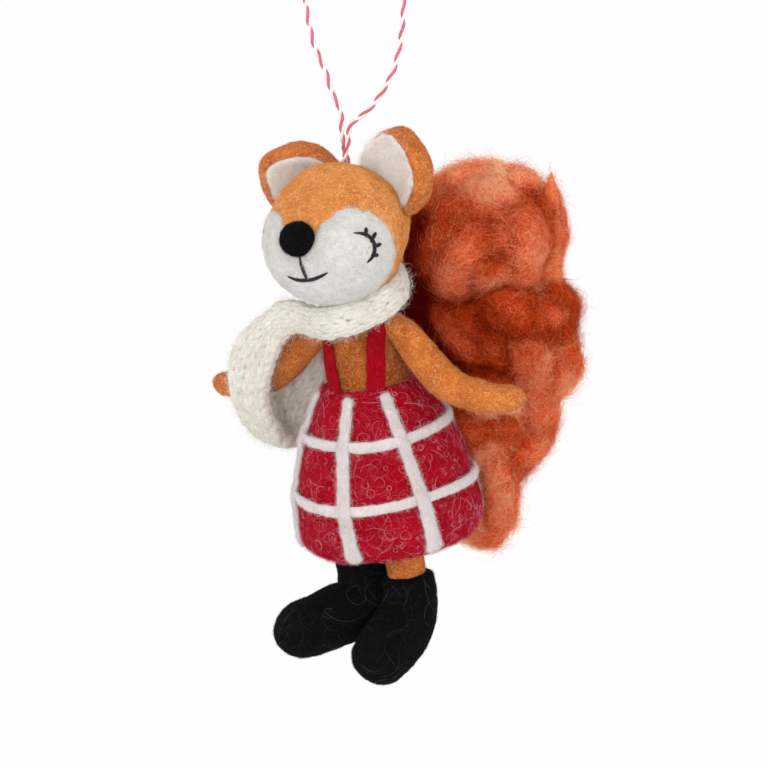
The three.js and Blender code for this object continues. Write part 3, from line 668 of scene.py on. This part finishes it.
def stitched(name, routes):
    """Lines of thread on the face, as one piece that stands for the node of its name."""
    points, faces = [], []
    for angles in routes:
        corner = [face_place(aside, above, thread_lift) for aside, above in angles]
        if len(corner) == 2:
            corner.insert(1, (corner[0] + corner[1]) / 2)
        line = route(corner, thread_steps, even=False)
        radius = thread_radius * domed(shares(thread_steps, even=False), thread_taper, thread_taper)
        rings = rings_about(line, radius, radius * thread_flatness, line - head_middle, thread_sides)
        faces += skin_faces(thread_steps, thread_sides, sum(map(len, points)))
        points.append(skin_points(rings))
    belongs(new_piece(name, stand(np.concatenate(points)), faces, thread), "black_thread", name)


thread = cotton("black_thread", dye(8, 8, 10), dye(32, 32, 36))
stitched("mouth_stitch", mouth_routes)
for name, side in (("left", 1), ("right", -1)):
    setback = eye_setbacks[name]
    stitched(f"eye_stitch_{name}", [
        [(side * (aside + setback), above) for aside, above in line] for line in eye_routes])

# Ears. Each is a cup of orange felt lined with a thin layer of white wool, needled onto the top of the head.
# The fox's left ear stands up; its right ear is bent outward.
ear_width, ear_height = 9.5, 10.5
ear_taper = 0.3
ear_places = {"left": (13.5, 9.5, 12), "right": (-13, 9.5, 10.9)}
ear_tilts = {"left": 12, "right": -50}
ear_turns = {"left": -18, "right": 0}
ear_nods = {"left": 0, "right": 25}
lining_shifts = {"left": (-1.0, -0.2, 0), "right": (0, 0, -0.9)}
lining_slants = {"left": 0.08, "right": 0}
# Sections from the middle of the hollow over the rim to the middle of the back: share of the outline, depth
ear_section = [
    (0.02, 0.4), (0.3, 0), (0.55, -0.9), (0.74, -2.4), (0.86, -3.2), (0.95, -2.9), (1, -1.3), (0.98, 1),
    (0.84, 3), (0.58, 4.3), (0.27, 4.9), (0.02, 4.9)]
lining_section = [
    (0.02, -1.5), (0.3, -1.7), (0.55, -2.2), (0.72, -2.9), (0.8, -3.2), (0.86, -3), (0.8, -1.5), (0.5, 0),
    (0.02, 0.8)]


def ear_skin(section, side, steps, shift=(0, 0, 0), slant=0):
    """Rings of an ear-shaped cup from its section, shifted and slanted across in the ear's own frame."""
    share, depth, _ = route([(share, depth, 0) for share, depth in section], steps).T[:, :, None]
    angle = np.linspace(0, 2 * np.pi, 72, endpoint=False)
    up = np.sin(angle)
    narrow = 1 - ear_taper * np.maximum(0, up) ** 2
    across = share * ear_width * np.cos(angle) * narrow
    cup = np.stack([across, depth + 0 * angle + slant * across, share * ear_height * up], -1)
    tilt = Matrix.Identity(3)
    for angles, axis in ((ear_tilts, "Y"), (ear_turns, "Z"), (ear_nods, "X")):
        tilt = tilt @ Matrix.Rotation(math.radians(angles[side]), 3, axis)
    return (cup + shift) @ np.array(tilt).T + head_middle + ear_places[side]


lining_wool = felt("lining_felt", dye(222, 217, 210), dye(241, 237, 232), dye(250, 248, 246), 0.4)
lining_strand = strand_wool("lining_strands", dye(220, 213, 204), dye(242, 238, 233), dye(252, 250, 248))
for side in ("left", "right"):
    rings = ear_skin(ear_section, side, 60)
    ear = felted(f"ear_{side}", rings, orange, "orange_felt", [(5, 0.3), (2, 0.12)], 11)
    fibres_on(f"ear_{side}_fuzz", ear, "orange_felt", orange_strand, 6000, seed=12, rise=0.22)
    name = f"ear_lining_{side}"
    rings = ear_skin(lining_section, side, 40, lining_shifts[side], lining_slants[side])
    lining = felted(name, rings, lining_wool, "white_felt", [(3.4, 0.35), (1.5, 0.2)], 13)
    fibres_on(f"{name}_fuzz", lining, "white_felt", lining_strand, 7000, seed=14,
              length=2.8, width=0.05, rise=0.35, curl=3)

# Body. A pear of orange wool, needled firm: the neck and chest show between scarf and skirt, and the hips
# fill the skirt right down, so that its flat base shows from below.
waist_level, hem_level, hem_rounding = 51, 89.4, 4.2
waist_radius, skirt_reach = 11.3, 21.6
skirt_wall = 2.7
chest_foot = -102  # where the fox hangs, in mm; below it the skirt hides the body


def skirt_radius(level):
    share = np.clip((level - waist_level) / (hem_level - waist_level - hem_rounding), 0, 1)
    return waist_radius + (skirt_reach - waist_radius) * np.sin(share * np.pi / 2) ** 0.85


def about_axis(angle, radius, level):
    """Places round the fox's own axis, with the angle from the front to its left."""
    return np.stack([radius * np.sin(angle), -radius * np.cos(angle), -level + 0 * angle], -1)


def turned(outline, steps, around):
    """Rings about that axis from radius and level pairs."""
    line = route([(radius, level, 0) for radius, level in outline], steps)
    return about_axis(np.linspace(0, 2 * np.pi, around, endpoint=False), line[:, :1], line[:, 1:2])


hips = [(skirt_radius(level) - skirt_wall, level) for level in (58, 66, 74, 82)]
body_outline = [
    (6.2, 22), (6.2, 32), (6.7, 34.5), (8.2, 38), (9.3, 43), (9.8, 51), *hips, (18.4, 85.6), (16.6, 86.7),
    (0.1, 86.8)]
# The body's felt is a darker copy of the orange, painted shade for the neck and chest under the head and
# scarf.
shaded_chest_wool = felt("shaded_chest_felt", dye(126, 54, 10), dye(158, 78, 24), dye(206, 132, 68))
body_rings = turned(body_outline, 110, 84)
body = felted("body", body_rings, shaded_chest_wool, "orange_felt", [(7, 0.3), (2.2, 0.13)], 21)


def bare_chest(places):
    """True for what shows of the body above the skirt."""
    return places[:, 2] > chest_foot


fibres_on("body_fuzz", body, "orange_felt", orange_strand, 6000, seed=22, keep=bare_chest)

# Skirt. A bell of red wool, wet-felted round the hips with a rolled hem. Long pale fibres are matted all over
# it in loose curls, and its fuzz shows pink against the light.
red = felt("red_felt", dye(132, 0, 10), dye(161, 0, 21), dye(186, 11, 43), 0.5, 0)
red_strand = strand_wool("red_strands", dye(134, 0, 13), dye(172, 2, 30), dye(212, 66, 94))
pale_strand = strand_wool("pale_strands", dye(172, 8, 36), dye(206, 64, 92), dye(248, 202, 214))
skirt_side = [(skirt_radius(level), level) for level in (54, 58, 63, 69, 75, 81, 85.2)]
skirt_outline = [
    (8.6, 51.2), (10.3, 50.6), (11.5, 51.5), *skirt_side, (20.9, 87.6), (19.3, 89), (17.4, 89.4),
    (15.7, 88.3), (15.2, 86.4)]
skirt_rings = turned(skirt_outline, 120, 160)
skirt = felted("skirt", skirt_rings, red, "red_felt", [(9, 0.45), (3, 0.18)], 23)
fibres_on("skirt_fuzz", skirt, "red_felt", red_strand, 14000, seed=24, length=2.4, curl=2.4)
fibres_on("skirt_curls", skirt, "red_felt", pale_strand, 5600, seed=25,
          length=6.5, width=0.05, rise=0.5, curl=7, steps=12, close=True)

# Check. Rovings of white wool are laid on the skirt and needled flat: two rings, then six uprights over them.
# The edges are soft and a little uneven, and the uprights widen to the hem.
ring_levels = {"check_ring_upper": 61.6, "check_ring_lower": 75.6}
ring_width, ring_lift, ring_droop = 2.5, 0.45, 0.35
upright_width, upright_lift = 3.1, 0.5
upright_start, upright_widening = 0.78, 0.36  # shares of its width at the waist, and added by the hem
bridge_reach, bridge_slope = 3.2, 2  # mm from a ring where an upright starts to rise, and mm that it takes
upright_angles = (-58, 0, 53, 140, 196, 249)
waist_strays = (4, 5, -8, 3, -4, 5)  # degrees that each upright strays at the waist, and at the hem
hem_strays = (-2, 5, 3, -3, 4, -3)
check_thickness = 0.7
roving_wool = felt("white_wool", dye(196, 185, 184), dye(217, 208, 207), dye(238, 233, 232), 0.4)
roving_strand = strand_wool("roving_strands", dye(198, 185, 184), dye(221, 212, 211), dye(244, 239, 238))


def laid_wool(name, line, width, seed):
    """A flat roving along a line, wider and narrower by chance. It stands for the node of its name."""
    ends = domed(shares(len(line)), 0.02, 0.02)
    half = width / 2 * (1 + 0.16 * swell(line, 4, seed)) * ends
    thick = check_thickness * (1 + 0.2 * swell(line, 3, seed + 1)) * ends
    rings = rings_about(line, half, thick, unit(line * [1, 1, 0]), 22, 0.85)
    roving = felted(name, rings, roving_wool, "white_wool", [(2, 0.16), (0.9, 0.08)], seed + 2)
    fibres_on(f"{name}_fuzz", roving, "white_wool", roving_strand, 4200, seed=seed,
              length=1.6, width=0.05, rise=0.35, curl=2.6)


ring_angles = np.linspace(-180, 181, 200)
for number, (name, level) in enumerate(ring_levels.items()):
    levels = level + ring_droop * np.sin(np.radians(3 * ring_angles + 70 * number))
    line = about_axis(np.radians(ring_angles), skirt_radius(levels) + ring_lift, levels)
    laid_wool(name, line, ring_width, 41 + number * 5)
share = shares(90)
levels = np.linspace(waist_level + 0.2, hem_level - 1.2, len(share))
nearness = np.min([np.abs(levels - level) for level in ring_levels.values()], axis=0)
over_rings = ring_lift * np.clip((bridge_reach - nearness) / bridge_slope, 0, 1)
hem = np.clip(levels - hem_level + hem_rounding, 0, hem_rounding)
drawn_in = hem_rounding - np.sqrt(hem_rounding**2 - hem**2)
radius = skirt_radius(levels) - drawn_in + upright_lift + over_rings
for number, (angle, waist_stray, hem_stray) in enumerate(zip(upright_angles, waist_strays, hem_strays), 1):
    sway = angle + waist_stray * (1 - share) ** 2 + hem_stray * share**2
    line = route(about_axis(np.radians(sway), radius, levels), len(share))
    width = upright_width * (upright_start + upright_widening * share)
    laid_wool(f"check_upright_{number}", line, width, 51 + number * 4)

# Straps. Two flat strips of red felt run from the skirt's waist up the chest, over the shoulders beside the
# neck under the scarf, and down the back. They are needled to the body along their middles.
strap_turn = 8
strap_half_width = 2.2
strap_thickness = 0.6
# Front half of a strap from waist to shoulder: degrees round from the middle of the chest, and level
strap_climb = [(28, 51.4), (34, 46), (42, 39.5), (62, 35.6), (91, 33.6)]
chest_levels, chest_radii = zip(*[(level, radius) for radius, level in body_outline[:6]])
strap_red = felt("strap_felt", dye(128, 0, 12), dye(152, 0, 18), dye(178, 13, 36), 0.4, 0)
strap_top = strap_climb[-1][0]
climb = strap_climb + [(2 * strap_top - angle, level) for angle, level in strap_climb[-2::-1]]
levels = np.array([level for _, level in climb])
radii = np.interp(levels, chest_levels, chest_radii) + strap_thickness
for name, side in (("strap_left", 1), ("strap_right", -1)):
    angles = np.array([strap_turn + side * angle for angle, _ in climb])
    line = route(about_axis(np.radians(angles), radii, levels), 110)
    half = strap_half_width * (1 + 0.08 * swell(line, 5, 81))
    rings = rings_about(line, half, strap_thickness, unit(line * [1, 1, 0]), 24, 0.7)
    strap = felted(name, rings, strap_red, "strap_felt", [(3, 0.15), (1.2, 0.07)], 82)
    fibres_on(f"{name}_fuzz", strap, "strap_felt", red_strand, 1200, seed=83, curl=2)

# Arms and legs. Rolls of orange wool, needled round and firm, that taper to a blunt end. The arms are felted
# into the shoulders and the legs into the base of the body.
arm_radius = 4
arm_swell = (0.75, 0.9, 1, 0.92, 0.62)
arm_shares = (0.09, 0.235, 0.37, 0.54, 0.79, 1)
arm_setbacks = (0.5, 0.2, -0.5, -0.5, 0, 0.5)
arm_reaches = {"left": 40, "right": -44}
arm_levels = {"left": (36, 38, 43.8, 51.6, 55, 55), "right": (36, 38, 41.6, 47.6, 51.4, 51.6)}
leg_radius = 4.4
leg_places = {"left": (5.1, -5), "right": (-7.5, -5)}
boot_tops = {"left": 96.2, "right": 91.4}


def limb(name, corners, radius, swells, ends, facing, material, finish, seed):
    """A roll of wool along a bent line, with its swelling in even steps from end to end."""
    steps, around = 90, 56
    share = shares(steps, even=False)
    size = radius * np.interp(share, np.linspace(0, 1, len(swells)), swells) * domed(share, *ends)
    rings = rings_about(route(corners, steps, even=False), size, size, np.array(facing, float), around)
    return felted(name, rings, material, finish, [(6, 0.35), (2.2, 0.14)], seed)


for side in ("left", "right"):
    name = f"arm_{side}"
    places = zip(arm_shares, arm_setbacks, arm_levels[side])
    corners = [(share * arm_reaches[side], back, -level) for share, back, level in places]
    arm = limb(name, corners, arm_radius, arm_swell, (0.08, 0.09), (0, 1, 0), orange, "orange_felt", 61)
    fibres_on(f"{name}_fuzz", arm, "orange_felt", orange_strand, 5600, seed=62, rise=0.22)
    name = f"leg_{side}"
    x, y = leg_places[side]
    corners = [(x, y, -84), (x, y, -88), (x, y, -boot_tops[side] - 3)]
    leg = limb(name, corners, leg_radius, (1, 1), (0.06, 0.06), (0, 1, 0), orange, "orange_felt", 63)
    fibres_on(f"{name}_fuzz", leg, "orange_felt", orange_strand, 1800, seed=64)

# Boots. Socks of black wool felted over the ends of the legs, bent forward into a long round foot. Grey
# fibres have worked out of the wool and lie on it in open curls.
boot_radius = 6.6
boot_swell = (0.9, 1, 1.12, 1.06, 0.95)
boot_routes = {
    "left": [(0, 0, 0), (0, -0.3, 6), (-0.8, -2.8, 11.5), (-2.4, -10.5, 15.6), (-4, -18.5, 19)],
    "right": [(0, 0, 0), (0.6, 0.4, 6), (0.2, -1.8, 11.8), (-6.6, -10.8, 14.4), (-13.6, -20, 15)],
}
grey_strand = strand_wool("grey_strands", dye(28, 28, 31), dye(46, 46, 50), dye(96, 96, 100))
for side in ("left", "right"):
    name = f"boot_{side}"
    x, y = leg_places[side]
    corners = [(x + dx, y + dy, -boot_tops[side] - drop) for dx, dy, drop in boot_routes[side]]
    boot = limb(name, corners, boot_radius, boot_swell, (0.05, 0.2), (1, 0, 0), black, "black_felt", 71)
    fibres_on(f"{name}_fuzz", boot, "black_felt", black_strand, 5000, seed=72, length=1.6)
    fibres_on(f"{name}_curls", boot, "black_felt", grey_strand, 170, seed=73,
              length=10, width=0.06, curl=2.6, steps=14, close=True)

# Scarf. A band knitted from soft cream yarn, wound once round the neck with one end tucked behind. The other
# end is slung over the right forearm and hangs below it. Its stitches stand in columns of Vs along the band.
scarf_width, scarf_thickness, scarf_spread = 7.4, 4, 0.5
scarf_radius = 10.2
scarf_level, scarf_sag, scarf_swing = 27.8, 5.7, 1.6
scarf_lowest = -30
scarf_angles = np.linspace(-118, -386, 9)
scarf_end_route = [
    (-10.4, -9.4, -32.4), (-15, -8.8, -33), (-20.6, -8.6, -37.2), (-26, -8, -43), (-29, -7.2, -49.5),
    (-30.2, -4.4, -57.5), (-30.2, 0.6, -64.2), (-29.6, 5.4, -65.2),
    (-28, 6.4, -60.4), (-25, 6.8, -54), (-20.2, 7, -48), (-15.4, 7, -43.5),
]
scarf_corner = 0.75  # how square the band's section is, as in squared
scarf_girth = 5.2  # of the band, for each mm of half width
scarf_flatness = 2.3  # width to thickness, for an even spread of points round the band
# Shares of the band between which it leaves the neck, and between which it turns over behind the arm
leaves_neck = (0.42, 0.6)
turns_over = (0.7, 0.93)
slung_tilt, slung_turn = 20, 145  # degrees, before it turns over and by how much it turns
slung_aside = -0.35
stitch_pitch = 3.0
stitch_columns = 8
yarn_inset = 0.75
yarn_share = 0.34  # of a column's width that the yarn's radius takes
stitch_reach = 1.45  # in rows, so that each stitch runs into the next
stitch_stray = 0.12
v_foot, v_spread = 0.16, 0.72  # how far apart the legs of a V start, and how much they part
yarn_lift, yarn_arch = 0.05, 0.35  # above the band at a stitch's ends, and more at its middle


def ease(share, start, end):
    """0 before start and 1 after end, smooth between."""
    t = np.clip((share - start) / (end - start), 0, 1)
    return (t * t * (3 - 2 * t))[:, None]


low = (1 + np.cos(np.radians(scarf_angles - scarf_lowest))) / 2
wrap = about_axis(
    np.radians(scarf_angles), scarf_radius + scarf_swing * low, scarf_level + scarf_sag * low)
scarf_steps = 260
scarf_line = route(np.concatenate([wrap, scarf_end_route]), scarf_steps)
scarf_length = length_of(scarf_line)
share = shares(scarf_steps)
slung = ease(share, *leaves_neck)
turn = np.radians(slung_tilt + slung_turn * ease(share, *turns_over))
slung_facing = np.concatenate([slung_aside + 0 * turn, -np.cos(turn), -np.sin(turn)], 1)
facing = unit(unit(scarf_line * [1, 1, 0]) * (1 - slung) + slung_facing * slung)
ends = domed(share, 0.03, 0.05)
half_width = scarf_width / 2 * (1 + scarf_spread * slung[:, 0]) * ends
scarf_around = 80
fine_angle = np.linspace(0, 2 * np.pi, 2000)
section = np.stack(squared(fine_angle, scarf_corner), 1) * [scarf_flatness, 1]
edge = np.r_[0, np.cumsum(np.linalg.norm(np.diff(section, axis=0), axis=1))]
even_angle = np.interp(np.linspace(0, edge[-1], scarf_around, endpoint=False), edge, fine_angle)
band = rings_about(
    scarf_line, half_width - yarn_inset * ends, (scarf_thickness / 2 - yarn_inset) * ends, facing,
    scarf_around, scarf_corner, even_angle)
cream = felt("cream_yarn", dye(204, 198, 186), dye(225, 220, 210), dye(243, 240, 234), 0.5)
cream_strand = strand_wool("cream_strands", dye(202, 196, 184), dye(225, 221, 211), dye(246, 244, 238))
scarf_points, scarf_faces = [skin_points(band)], skin_faces(scarf_steps, scarf_around)
band_out = unit(band - scarf_line[:, None])
stitch_rows = int(scarf_length / stitch_pitch)
yarn_steps, yarn_sides = 9, 8
arc = np.linspace(0, 1, yarn_steps)
hump = np.sin(np.pi * arc)
placed = len(scarf_points[0])
dice = np.random.default_rng(90)
for row in range(1, stitch_rows - 1):
    for column in range(stitch_columns):
        for lean_to in (-1, 1):
            along = row + stitch_reach * arc + stitch_stray * dice.normal()
            along = along / stitch_rows * (scarf_steps - 1)
            around = column + 0.5 * lean_to * (v_foot + v_spread * arc)
            around = around / stitch_columns * scarf_around
            ring = np.clip(np.rint(along).astype(int), 0, scarf_steps - 1)
            side = np.rint(around).astype(int) % scarf_around
            out = band_out[ring, side]
            line = band[ring, side] + out * (yarn_lift + yarn_arch * hump)[:, None]
            column_width = scarf_girth * half_width[ring] / stitch_columns
            radius = yarn_share * column_width * (0.75 + 0.25 * hump) * dice.uniform(0.9, 1.1)
            rings = rings_about(line, radius, radius * 0.85, out, yarn_sides)
            scarf_points.append(skin_points(rings))
            scarf_faces += skin_faces(yarn_steps, yarn_sides, placed)
            placed += yarn_steps * yarn_sides + 2
scarf = new_piece("scarf", stand(np.concatenate(scarf_points)), scarf_faces, cream)
lumpy(scarf, [(2.4, 0.2), (0.8, 0.08)], 91)
belongs(scarf, "cream_knit", "scarf")
fibres_on("scarf_fuzz", scarf, "cream_knit", cream_strand, 24000, seed=92,
          length=3, width=0.05, rise=0.6, curl=3)

# Tail. Loose locks of carded rust wool are needled at their roots to a thin felted core, which is sewn into
# the back of the skirt and whose tip stands out above. The locks are rolled and puffy, with painted shade in
# the folds and painted light on top.
core_radius = 2.2
core_taper = (1, 1, 1, 1, 1.3, 1.3, 0.35)
core_route = [
    (4, 14, -71), (5.5, 20, -71), (11, 25.5, -67), (22, 31, -58), (30, 33, -46), (34.4, 32.4, -32),
    (37.5, 33.3, -9.8),
]
# Each lock: its middle, its radii, the size and height of its rolls, and how much paler than the rest
# Lock 2, in the middle, and lock 7, behind the fox's back, are darker for painted shade.
locks = [
    ((18.5, 31, -21.4), (19, 17, 15.3), 17, 2.2, 0.02), ((19, 33, -47), (17, 18, 15), 14, 2.4, -0.36),
    ((16, 29.5, -70), (14.5, 15, 14), 14, 1.8, 0.1), ((29, 33.5, -44), (9, 10, 8.5), 10, 1.2, -0.2),
    ((28, 33.5, -57), (9, 10, 8), 10, 1.2, 0.02), ((10.5, 25.5, -89.5), (8.5, 8, 12), 11, 1.2, 0.2),
    ((1, 34.5, -36), (11, 11, 14), 11, 2, -0.3), ((7, 39, -59), (12, 11, 12), 11, 2, -0.3),
    ((12.4, 30.2, -80.5), (7, 8, 8), 10, 1, 0.08),
]
lock_merge = 2.2  # how far in mm the locks run into one another
# palest_fold caps the painted light on the surface of the locks.
palest_fold = 0.8  # so that the wool under the fibres is never bare and pale
hidden_depth = 3  # in mm, below which one lock hides the wool of another
lock_around, lock_down = 150, 96
roll_around, roll_steps = 36, 40
# Rolls of wool that lie on the locks: middle line, radius, and how much paler than the rest each is
# Rolls 10 and 11, along the top, are paler for painted light.
rolled_wool = [
    ([(27, 18, -20), (20, 16.5, -25), (14.5, 21.5, -32.5), (17.5, 23, -36)], 4.4, 0.1),
    ([(23, 20, -39.5), (27, 22, -38.6), (30, 22.5, -42), (26.5, 19.5, -45)], 3.7, -0.15),
    ([(6, 26, -38), (12.5, 19, -41.5), (17.5, 16.5, -46), (23, 17.5, -51)], 2.9, -0.1),
    ([(14, 20.5, -38.5), (20, 17.5, -43.5), (24.5, 18, -49), (26, 20.5, -54)], 2.6, -0.15),
    ([(9, 19, -66), (17.5, 17, -69), (25.5, 21, -67)], 3.6, 0),
    ([(28, 21.5, -46), (28.5, 26, -54), (27.5, 28.5, -63), (25.5, 26, -72)], 5.2, 0.2),
    ([(32, 29.5, -37), (35, 31, -41.5), (34.4, 30.5, -46.5)], 3.2, -0.05),
    ([(33, 28, -47), (34, 32, -53), (35.2, 32.6, -59)], 3.2, 0.15),
    ([(34.4, 33.5, -14), (34.6, 33, -23), (33, 34, -32)], 3.6, 0.1),
    ([(15, 23.5, -10.4), (21, 26.5, -9.2), (26, 28, -10.2)], 3.6, 0.34),
    ([(28, 28.5, -11), (31.5, 31, -12.4), (33.6, 31.6, -14.6)], 3, 0.3),
    ([(32.5, 24.5, -16), (33, 24.5, -26), (27, 27, -35.5)], 4.4, 0.1),
    ([(19, 18.5, -75), (17, 23, -86), (14.6, 22, -95)], 4, 0.2),
]
fibres_per_area = 4.6  # to a square millimetre
# Kinds of fibre in the wool: share, length, width, rise, curl, how much paler, and if they lie close
wool_kinds = {
    "wool": (1, 6.5, 0.06, 0.4, 4.5, 0, False),
    "rolled": (0.4, 8, 0.07, 0.8, 5, 0.2, True),
    "fuzz": (0.5, 2.8, 0.045, 0.9, 5, 0.14, False),
}


def loose_wool(name, fold, main, lit_top):
    """Carded wool with fibres in it. Its fold attribute runs from 0, painted shade in a crease, to 1, painted
    light on the back of a puff.
    """
    paint = Paint(bpy.data.materials.new(name))
    place = paint.node("ShaderNodeTexCoord", output="Object")
    painted_lighting = paint.node("ShaderNodeAttribute", {"attribute_name": "fold"}, output="Fac")
    patch = paint.noise(place, 110.0, 4.0)
    grain = paint.noise(place, 1500.0, 4.0, 1.0)
    fibre = matted_fibres(paint, place, ((180.0, 1.8), (310.0, 1.4), (520.0, 1.0)), 2.0, 26)
    tone = (painted_lighting + (patch - 0.5) * 0.5 + (grain - 0.5) * 0.4 + fibre * 0.2 - 0.1).within()
    colour = paint.node("ShaderNodeValToRGB", {"stops": [(0, fold), (1, lit_top), (0.55, main)]}, {0: tone})
    return paint.surface({
        "Base Color": colour, "Normal": paint.bump(grain * 0.5 + fibre * 0.5, 0.7, 0.0003),
        "Roughness": 0.95, "Specular IOR Level": 0.05,
    })


def rolls(points, size, seed):
    """How far up a soft roll of wool each place is, from 0 in a fold to 1."""
    bent = points + 0.3 * size * np.stack([swell(points, size, seed + turn) for turn in (21, 22, 23)], 1)
    large, small = np.abs(swell(bent, size, seed)), np.abs(swell(bent, size / 2, seed + 7))
    return np.clip(1.9 * large + 0.5 * small, 0, 1)


def outside_locks(points):
    """About how far outside the locks each place is, with the valleys between them filled softly."""
    nearness = [
        np.exp((1 - np.linalg.norm((points - middle) / radii, axis=1)) * min(radii) / lock_merge)
        for middle, radii, *_ in locks]
    return -lock_merge * np.log(np.sum(nearness, axis=0))


def painted_back_shade(places):
    """Painted shade: 1 where the wool lies close behind the fox's back and gets little light, and 0 away from
    there.
    """
    aside = np.clip((13 - places[:, 0]) / 6, 0, 1) * np.clip((36 - places[:, 1]) / 8, 0, 1)
    return aside * np.clip((-12 - places[:, 2]) / 6, 0, 1) * np.clip((places[:, 2] + 64) / 8, 0, 1)


def drift(places):
    """Headings that change slowly over the tail, so that neighbouring fibres lie together."""
    return np.stack([swell(places, 8, seed) for seed in (101, 102, 103)], 1) * 3


def on_outside(places):
    """True where the wool can be seen, and not where one lock runs into another."""
    return outside_locks(upright(places)) > -hidden_depth


def wool_on(name, piece, area, radius, shade, seed):
    """The fibres of a lock or a roll, with the same painted light and shade as its surface."""
    for kind, (share, length, width, rise, curl, paler, close) in wool_kinds.items():
        fibres_on(
            f"{name}_{kind}", piece, "rust_wool", rust_strand, int(fibres_per_area * share * area), seed,
            length, width, rise, curl, steps=6, close=close, flow=drift, keep=on_outside,
            shade=lambda places: paler + shade(upright(places)), bow=5 * radius)
        seed += 20


# The fold attribute holds the tail's painted light and shade, with some random tone.
def set_fold(piece, values):
    piece.data.attributes.new("fold", "FLOAT", "POINT").data.foreach_set("value", values.astype(np.float32))


# The first colour of the rust wool and of its strands is painted shade for the creases, and the last painted
# light for the tops of the puffs.
rust = loose_wool("rust_wool", dye(104, 6, 0), dye(224, 80, 27), dye(252, 188, 138))
rust_strand = strand_wool("rust_strands", dye(112, 9, 0), dye(232, 87, 30), dye(255, 210, 165))
core_felt = felt("rust_felt", dye(210, 95, 44), dye(234, 130, 70), dye(250, 186, 136))
core = limb(
    "tail_core", core_route, core_radius, core_taper, (0.05, 0.06), (0, 1, 0), core_felt, "rust_wool", 98)
fibres_on("tail_core_fuzz", core, "rust_wool", rust_strand, 6000, seed=99,
          length=3.5, width=0.05, rise=0.4, curl=3, steps=6)
for number, (middle, radii, roll_size, roll_height, paler) in enumerate(locks, 1):

    def lock_shade(places):
        """Painted shade in the folds and behind the fox's back, and painted light on top of the lock."""
        height = (places[:, 2] - middle[2]) / radii[2]
        fold = 0.55 * rolls(places, roll_size, 110 + number) + 0.1 * swell(places, 4, 115 + number)
        return paler + 0.13 + fold + 0.48 * np.clip(height, 0, 1) ** 2 - 0.6 * painted_back_shade(places)

    points = skin_points(directions(lock_around, lock_down) * radii + np.array(middle))
    outward = unit((points - middle) / np.square(radii))
    fold = rolls(points, roll_size, 110 + number)
    rise = roll_height * (1.6 * fold - 1.5) + 0.4 * swell(points, 3, 130 + number)
    rise = rise + np.clip(-0.7 * outside_locks(points), 0, 2)
    name = f"tail_lock_{number}"
    faces = skin_faces(lock_down, lock_around)
    lock = new_piece(name, stand(points + outward * rise[:, None]), faces, rust)
    set_fold(lock, np.minimum(lock_shade(points), palest_fold))
    belongs(lock, "rust_wool", name)
    a, b, c = radii
    area = 4.2 * (a * b + b * c + a * c)  # about that of an egg of these radii
    wool_on(name, lock, area, min(radii), lock_shade, 140 + number)
for number, (corners, radius, paler) in enumerate(rolled_wool, 1):

    def roll_shade(places):
        """Painted shade where the roll lies on a lock, and painted light the further it stands out."""
        painted_lighting = 0.5 * np.clip(outside_locks(places) / radius, 0, 1) + 0.2 * swell(places, 4, 230)
        return paler + 0.27 + painted_lighting - 0.5 * painted_back_shade(places)

    line = route(corners, roll_steps, even=False)
    ends = domed(shares(roll_steps, even=False), 0.3, 0.3)
    size = radius * ends * (1 + 0.2 * swell(line, 5, 240 + number))
    points = skin_points(rings_about(line, size, size, np.array([0.4, 1, 0.2]), roll_around))
    name = f"tail_roll_{number}"
    roll = new_piece(name, stand(points), skin_faces(roll_steps, roll_around), rust)
    lumpy(roll, [(7, 0.8), (3, 0.25)], 250 + number)
    set_fold(roll, roll_shade(points))
    belongs(roll, "rust_wool")
    wool_on(name, roll, 2 * np.pi * radius * length_of(line), radius, roll_shade, 260 + number)
